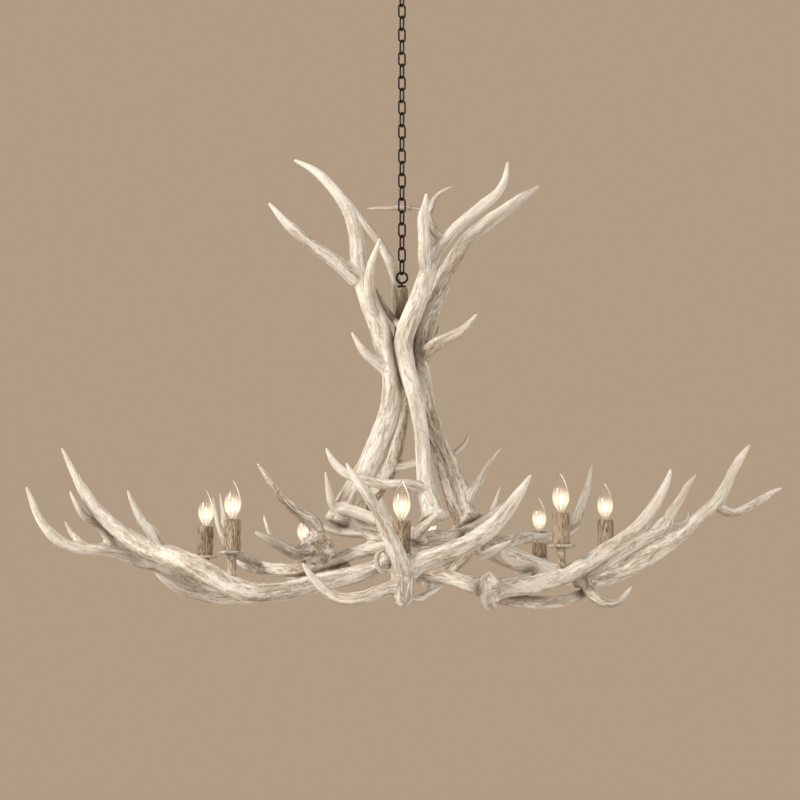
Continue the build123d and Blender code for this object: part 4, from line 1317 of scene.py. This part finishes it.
    def build(self) -> None:
        """Makes all the lights."""
        pans, stems, sockets = [], [], []
        for number, (mouth, pan_z, stem_foot) in enumerate(self._seats(), start=1):
            seat = Vector((mouth.x, mouth.y, pan_z))
            foot = pan_z + self.pan_floor - mouth.z
            self.sleeve(number, mouth, foot)
            pans.append(self.pan(number, seat))
            stems.append(self.stem(number, seat, stem_foot))
            sockets.append(self.socket(number, mouth, foot))
            self.cap(number, mouth)
            self.glass_shell(number, mouth)
            self.filament(number, mouth)
        place(merged(pans, "burr_pans"), "drip_pans", "antler_frame")
        place(merged(stems, "stems"), "candle_stems", "antler_frame")
        place(merged(sockets, "sockets"), "candle_sockets", "antler_frame")


def wire(name: str, path: Sequence[Vector], radius: float, material: Material) -> Object:
    """Bends a closed round wire.

    Args:
        name: Name of the wire.
        path: The places that it runs through.
        radius: Half its thickness.
        material: Its material.

    Returns:
        The wire as a mesh.
    """
    curve = bpy.data.curves.new(name, "CURVE")
    curve.dimensions = "3D"
    curve.bevel_depth = radius
    curve.bevel_resolution = 2
    curve.use_fill_caps = True
    spline = curve.splines.new("POLY")
    spline.points.add(len(path) - 1)
    for point, spot in zip(spline.points, path):
        point.co = (*spot, 1.0)
    piece = baked(linked(name + "_path", curve), name)
    piece.data.materials.clear()
    piece.data.materials.append(material)
    for face in piece.data.polygons:
        face.use_smooth = True
    return piece


# ------------------------------------------------------------------ finishes


class Grain:
    """Shader groups that more than one finish uses."""

    def __init__(self) -> None:
        """Builds the groups once."""
        self.streaks = self._streaks()
        self.specks = self._specks()

    @staticmethod
    def _open(name: str, inputs: dict[str, Any], outputs: Sequence[str]) -> Tree:
        """Starts a shader group whose outputs are all numbers."""
        return open_tree(name, "ShaderNodeTree", inputs, {title: "Float" for title in outputs})

    def _streaks(self) -> NodeTree:
        """Returns the group of stains, streaks and fine lines that follow the length of bone or bark."""
        tree = self._open("length_streaks", {"Flow": "Vector", "Width": 6 * MM, "Amount": 0.5},
                          ("Stain", "Streak", "Line", "Fine"))
        flow, per, out = tree.given["Flow"], 1.0 / tree.given["Width"], tree.result.inputs
        cut = 0.62 - tree.given["Amount"] * 0.2
        stain = tree.noise(flow, per * 0.3, 3.0, 0.6)
        wide = tree.noise(flow, per * 0.85, 4.0, 0.65)
        narrow = tree.noise(flow, per * 2.6, 3.0, 0.6)
        lean = (stain - 0.5) * 0.5
        tree.feed(out["Streak"], tree.ramp(wide + lean, cut, cut + 0.13))
        tree.feed(out["Line"], tree.ramp(narrow + lean, cut, cut + 0.09))
        tree.feed(out["Stain"], tree.ramp(stain, 0.42, 0.62))
        tree.feed(out["Fine"], tree.noise(flow, per * 2.8, 2.0, 0.6))
        return tree.tree

    def _specks(self) -> NodeTree:
        """Returns the group of small pits and dust that lie anywhere on a surface."""
        tree = self._open("specks", {"Place": "Vector", "Size": 1.5 * MM, "Share": 0.3}, ("Speck", "Cloud"))
        spot, per, out = tree.given["Place"], 1.0 / tree.given["Size"], tree.result.inputs
        cut = 0.8 - tree.given["Share"] * 0.4
        tree.feed(out["Speck"], tree.ramp(tree.noise(spot, per * 0.6, 2.0, 0.6), cut, cut + 0.07))
        tree.feed(out["Cloud"], tree.ramp(tree.noise(spot, per * 0.045, 3.0), 0.38, 0.66))
        return tree.tree


class Coat:
    """An empty material that a finish fills: its tree, its Principled shader and plain settings."""

    def __init__(self, name: str, **settings: Any) -> None:
        """Makes the material and its shader.

        Args:
            name: The material's name.
            settings: Plain values of the shader's sockets, with underscores for spaces.
        """
        self.material = bpy.data.materials.new(name)
        self.material.use_nodes = True
        self.material.node_tree.nodes.clear()
        self.tree = Tree(self.material.node_tree)
        shader = self.tree.add("ShaderNodeBsdfPrincipled")
        self.inputs = shader.inputs
        self.tree.add("ShaderNodeOutputMaterial", {0: Value(self.tree, shader.outputs[0])})
        for title, value in settings.items():
            self.inputs[title.replace("_", " ")].default_value = value

    def place(self) -> Value:
        """Returns the place on the piece, in metres."""
        return self.tree.get("ShaderNodeTexCoord", output="Object")

    def hollow(self) -> Value:
        """Returns how sharp an edge or a hollow is, about a half where the surface is even."""
        return self.tree.get("ShaderNodeNewGeometry", output="Pointiness")

    def paint(self, colour: Value, rough: Any = None) -> None:
        """Feeds the shader's colour and, where it varies, its roughness."""
        self.tree.feed(self.inputs["Base Color"], colour)
        if rough is not None:
            self.tree.feed(self.inputs["Roughness"], rough)

    def bump(self, height: Value, distance: float, strength: float = 1.0) -> None:
        """Feeds a height to the shader's normal."""
        feeds = {"Height": height, "Distance": distance, "Strength": strength}
        self.tree.feed(self.inputs["Normal"], self.tree.get("ShaderNodeBump", feeds))


@dataclass(frozen=True)
class BoneFinish:
    """Sun-bleached cast antler: pale, with tan lines along it, brown in its grooves, and painted shade in its
    creases and where other antlers come close.
    """

    grain: Grain
    name: str = "bleached_antler"
    pale: Colour = (0.86, 0.79, 0.695)
    cream: Colour = (0.68, 0.575, 0.45)
    tan: Colour = (0.43, 0.32, 0.21)
    brown: Colour = (0.13, 0.078, 0.042)
    roughness: float = 0.56
    width: float = 4.6 * MM              # of a streak
    amount: float = 0.36                 # of streaks on a bleached antler
    brown_amount: float = 0.45           # how many more a brown one has
    stain_share: float = 0.75            # how strongly each mark covers
    streak_share: float = 0.3
    dash_share: float = 0.72
    # how strongly the brown of grooves and pits and the painted shade cover
    dirt_share: float = 0.9
    pit: float = 1.6 * MM
    depth: float = 0.9 * MM              # of the fine relief
    depth_strength: float = 0.8

    def make(self) -> Material:
        """Builds the material, which reads the attributes that the relief left."""
        coat = Coat(self.name, Specular_IOR_Level=0.35)
        tree = coat.tree
        marks = (Attr.VALLEY, Attr.GRIME, Attr.TONE, Attr.SHARE, Attr.KNOB, Attr.PEARL)
        valley, grime, tone, share, knob, pearl = (tree.read(name) for name in marks)
        flow, amount = tree.read(Attr.FLOW), self.amount + tone * self.brown_amount
        lines = tree.group(self.grain.streaks, Flow=flow, Width=self.width, Amount=amount)
        stain, streak, line, fine = (lines[title] for title in ("Stain", "Streak", "Line", "Fine"))
        speck = tree.group(self.grain.specks, Place=coat.place(), Size=self.pit, Share=0.45)["Speck"]
        worn = 1.0 - tree.ramp(share, 0.55, 1.0)
        used = 0.25 + worn * 0.75
        colour = tree.mix(stain * (used * self.stain_share), self.pale, self.cream)
        colour = tree.mix(tone * (0.3 + stain * 0.45), colour, self.tan)
        colour = tree.mix(streak * (used * self.streak_share), colour, self.tan)
        dashes = line * (worn * tree.math("ADD", 0.35, tone, clamp=True))
        colour = tree.mix(dashes * self.dash_share, colour, self.brown)
        # Painted shade: darker where the surface is creased, more so on burrs, and where another antler is
        # close; grooves and pits are the bone's own brown.
        crease = 1.0 - tree.ramp(coat.hollow(), 0.43, 0.5)
        burr = tree.math("MAXIMUM", knob, pearl)
        dark = valley * 0.5
        for other in (crease * (0.35 + burr * 0.45), grime * (0.42 + fine * 0.75), speck * (worn * 0.45)):
            dark = tree.math("MAXIMUM", dark, other)
        coat.paint(tree.mix(dark * self.dirt_share, colour, self.brown), self.roughness + fine * 0.25)
        coat.bump(fine + speck * -0.5 - (streak * 0.6 + line * 0.6), self.depth, self.depth_strength)
        return coat.material


@dataclass(frozen=True)
class StickFinish:
    """Rough cast wood or burr: ridged, with painted brown shade in the hollows and paler on the ridges."""

    grain: Grain
    name: str
    ridge: Colour = (0.46, 0.355, 0.245)
    body: Colour = (0.29, 0.205, 0.13)
    # colour of the dark lines and of the painted shade in the hollows
    hollow: Colour = (0.095, 0.055, 0.03)
    stretch: float = 7.0
    line_width: float = 5 * MM
    amount: float = 0.5
    roughness: float = 0.62
    depth: float = 1.2 * MM

    def make(self) -> Material:
        """Builds the material; its lines run up the piece."""
        coat = Coat(self.name)
        tree = coat.tree
        flow = coat.place() * (1.0, 1.0, 1.0 / self.stretch)
        lines = tree.group(self.grain.streaks, Flow=flow, Width=self.line_width, Amount=self.amount)
        ground = tree.mix(tree.ramp(lines["Fine"], 0.35, 0.6), self.body, self.ridge)
        ground = tree.mix(lines["Stain"] * 0.5, ground, self.ridge)
        lined = tree.mix(lines["Line"] * 0.75, ground, self.hollow)
        # Painted shade: darker brown where the surface is hollow.
        colour = tree.mix(tree.ramp(coat.hollow(), 0.38, 0.5), self.hollow, lined)
        coat.paint(tree.mix(0.35, colour, lined), self.roughness + lines["Fine"] * 0.2)
        coat.bump(lines["Fine"] - lines["Line"] * 0.9, self.depth)
        return coat.material


@dataclass(frozen=True)
class MetalFinish:
    """Metal with a slightly uneven skin and brighter edges."""

    grain: Grain
    name: str
    colour: Colour
    worn: Colour
    roughness: float
    metallic: float = 1.0
    edge: float = 0.6                    # how strongly the worn colour shows
    dust: float = 0.9 * MM
    depth: float = 0.15 * MM

    def make(self) -> Material:
        """Builds the material."""
        coat = Coat(self.name, Metallic=self.metallic)
        tree = coat.tree
        dust = tree.group(self.grain.specks, Place=coat.place(), Size=self.dust)
        rubbed = tree.ramp(coat.hollow(), 0.52, 0.6)
        wear = tree.math("ADD", rubbed, dust["Cloud"] * 0.3, clamp=True) * self.edge
        coat.paint(tree.mix(wear, self.colour, self.worn), self.roughness + dust["Cloud"] * 0.15)
        coat.bump(dust["Speck"], self.depth, 0.5)
        return coat.material


@dataclass(frozen=True)
class GlassFinish:
    """Clear thin glass, with a glow painted on it in a band round the filament."""

    name: str = "bulb_glass"
    colour: Colour = (1.0, 0.985, 0.96)
    # colour of the glow painted on the glass
    glow: Colour = (1.0, 0.83, 0.60)
    strength: float = 0.2
    low: float = -5 * MM
    middle: float = 24 * MM
    high: float = 52 * MM

    def make(self) -> Material:
        """Builds the material, which reads how far up the glass a point is."""
        coat = Coat(self.name, Base_Color=(*self.colour, 1.0), Transmission_Weight=1.0, Roughness=0.02,
                    IOR=1.45, Emission_Strength=self.strength)
        tree, rise = coat.tree, coat.tree.read(Attr.RISE)
        # Painted light: the glass emits in a band round the filament's height.
        painted_glow = tree.ramp(rise, self.low, self.middle) * (1.0 - tree.ramp(rise, self.middle, self.high))
        tree.feed(coat.inputs["Emission Color"], tree.mix(painted_glow, (0.0, 0.0, 0.0), self.glow))
        return coat.material


@dataclass(frozen=True)
class GlowFinish:
    """The lit filament."""

    name: str = "lit_filament"
    colour: Colour = (1.0, 0.78, 0.48)
    hot: Colour = (1.0, 0.9, 0.7)
    strength: float = 110.0

    def make(self) -> Material:
        """Builds the material."""
        coat = Coat(self.name, Base_Color=(*self.colour, 1.0), Emission_Strength=self.strength)
        share = coat.tree.ramp(coat.tree.noise(coat.place(), 900.0), 0.2, 0.8)
        coat.tree.feed(coat.inputs["Emission Color"], coat.tree.mix(share, self.colour, self.hot))
        return coat.material


@dataclass(frozen=True)
class PlainFinish:
    """An even, slightly mottled surface, for the floor."""

    name: str = "pale_floor"
    colour: Colour = (0.70, 0.66, 0.60)
    second: Colour = (0.68, 0.64, 0.58)
    size: float = 0.4

    def make(self) -> Material:
        """Builds the material."""
        coat = Coat(self.name, Roughness=0.85)
        cloud = coat.tree.ramp(coat.tree.noise(coat.place(), 1 / self.size, 4.0), 0.35, 0.65)
        coat.paint(coat.tree.mix(cloud, self.colour, self.second))
        return coat.material


# ------------------------------------------------------------------ studio


@dataclass(frozen=True)
class Studio:
    """The camera at the photograph's place, the soft lights, the floor and the plain backdrop."""

    camera_x: float = -4 * MM
    camera_distance: float = 3.2
    camera_level: float = -1.385
    pitch: float = 7.83
    lens: float = 72.0
    aim: Point = (0.0, 0.0, -1.0)        # what the lamps face
    floor_z: float = -2.3
    floor_radius: float = 5.0
    wall: Colour = (0.44, 0.33, 0.232)
    sky: Colour = (1.0, 0.97, 0.93)
    sky_strength: float = 0.5

    def camera(self) -> None:
        """Sets the camera."""
        data = bpy.data.cameras.new("camera")
        data.lens = self.lens
        data.sensor_width = 36.0
        data.clip_start, data.clip_end = 0.05, 60.0
        camera = linked("camera", data)
        camera.location = (self.camera_x, -self.camera_distance, self.camera_level)
        camera.rotation_euler = (math.radians(90 + self.pitch), 0.0, 0.0)
        bpy.context.scene.camera = camera

    def lamp(self, name: str, spot: Point, size: float, power: float, colour: Colour) -> None:
        """Adds a square soft light.

        Args:
            name: The lamp's name.
            spot: Its place.
            size: Its side, in metres.
            power: Its power, in watts.
            colour: Its colour.
        """
        data = bpy.data.lights.new(name, "AREA")
        data.size, data.energy, data.color = size, power, colour
        lamp = linked(name, data)
        lamp.location = spot
        lamp.rotation_euler = (Vector(self.aim) - Vector(spot)).to_track_quat("-Z", "Y").to_euler()

    def surround(self) -> None:
        """Sets the world: soft light for the object and a plain warm wall for the camera."""
        world = bpy.data.worlds.new("studio")
        bpy.context.scene.world = world
        world.use_nodes = True
        world.node_tree.nodes.clear()
        tree = Tree(world.node_tree)
        rays = tree.add("ShaderNodeLightPath").outputs
        seen = Value(tree, rays["Is Camera Ray"])
        for title in ("Is Glossy Ray", "Is Transmission Ray"):
            seen = tree.math("MAXIMUM", seen, Value(tree, rays[title]))
        soft = tree.get("ShaderNodeBackground", {"Color": (*self.sky, 1.0), "Strength": self.sky_strength})
        wall = tree.get("ShaderNodeBackground", {"Color": (*self.wall, 1.0), "Strength": 1.0})
        tree.add("ShaderNodeOutputWorld", {0: tree.get("ShaderNodeMixShader", {0: seen, 1: soft, 2: wall})})

    def floor(self) -> None:
        """Adds a round pale floor well below the antlers."""
        shape = bmesh.new()
        bmesh.ops.create_circle(shape, cap_ends=True, segments=96, radius=self.floor_radius)
        bmesh.ops.translate(shape, verts=shape.verts, vec=(0.0, 0.0, self.floor_z))
        from_shape("floor", shape, [PlainFinish().make()])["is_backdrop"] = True

    def build(self) -> None:
        """Sets up the studio: camera, key, fill and a light from behind, world and floor."""
        bpy.context.scene.view_settings.view_transform = "Standard"
        self.camera()
        self.lamp("key", (-2.9, -2.0, 0.6), 1.2, 140.0, (1.0, 0.965, 0.91))
        self.lamp("fill", (2.8, -2.4, -0.8), 2.4, 40.0, (1.0, 0.94, 0.87))
        self.lamp("rim", (1.6, 2.8, 0.5), 1.8, 34.0, (1.0, 0.96, 0.9))
        self.surround()
        self.floor()


# ------------------------------------------------------------------ the whole chandelier


def main() -> None:
    """Builds the studio and then each sub-assembly in order."""
    logging.basicConfig(level=logging.INFO, format="%(message)s")
    cad_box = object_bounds()
    Studio().build()
    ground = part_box("centre_post")[1].z - POST_TOP * MM
    grain = Grain()
    bronze = MetalFinish(grain, "dark_bronze", (0.022, 0.017, 0.014), (0.075, 0.05, 0.036), 0.42, 0.85, 0.5)
    steel = MetalFinish(grain, "plated_steel", (0.60, 0.59, 0.56), (0.72, 0.71, 0.69), 0.32)
    finishes = {
        "bark": StickFinish(grain, "bark_sleeve"),
        "pan": StickFinish(grain, "burr_pan", (0.74, 0.66, 0.54), (0.55, 0.45, 0.32), (0.13, 0.08, 0.045),
                           1.0),
        "stem": StickFinish(grain, "stem_stick", (0.62, 0.52, 0.40), (0.42, 0.32, 0.21), (0.11, 0.07, 0.04),
                            6.0),
        "socket": MetalFinish(grain, "socket_shell", (0.03, 0.027, 0.025), (0.06, 0.055, 0.05), 0.5, 0.0),
        "brass": MetalFinish(grain, "cap_brass", (0.62, 0.44, 0.20), (0.80, 0.64, 0.36), 0.28),
        "glass": GlassFinish(),
        "glow": GlowFinish(),
    }
    hair = Vector((1e-4, 1e-4, 1e-4))     # keeps the relief just inside the solids' box
    low, high = Vector(cad_box[0]) + hair, Vector(cad_box[1]) - hair
    AntlerFrame(ground, BoneFinish(grain).make(), low, high).build()
    CandleLights({use: finish.make() for use, finish in finishes.items()}).build()
    Metalwork(bronze.make(), steel.make()).build()


if __name__ == "__main__":
    main()
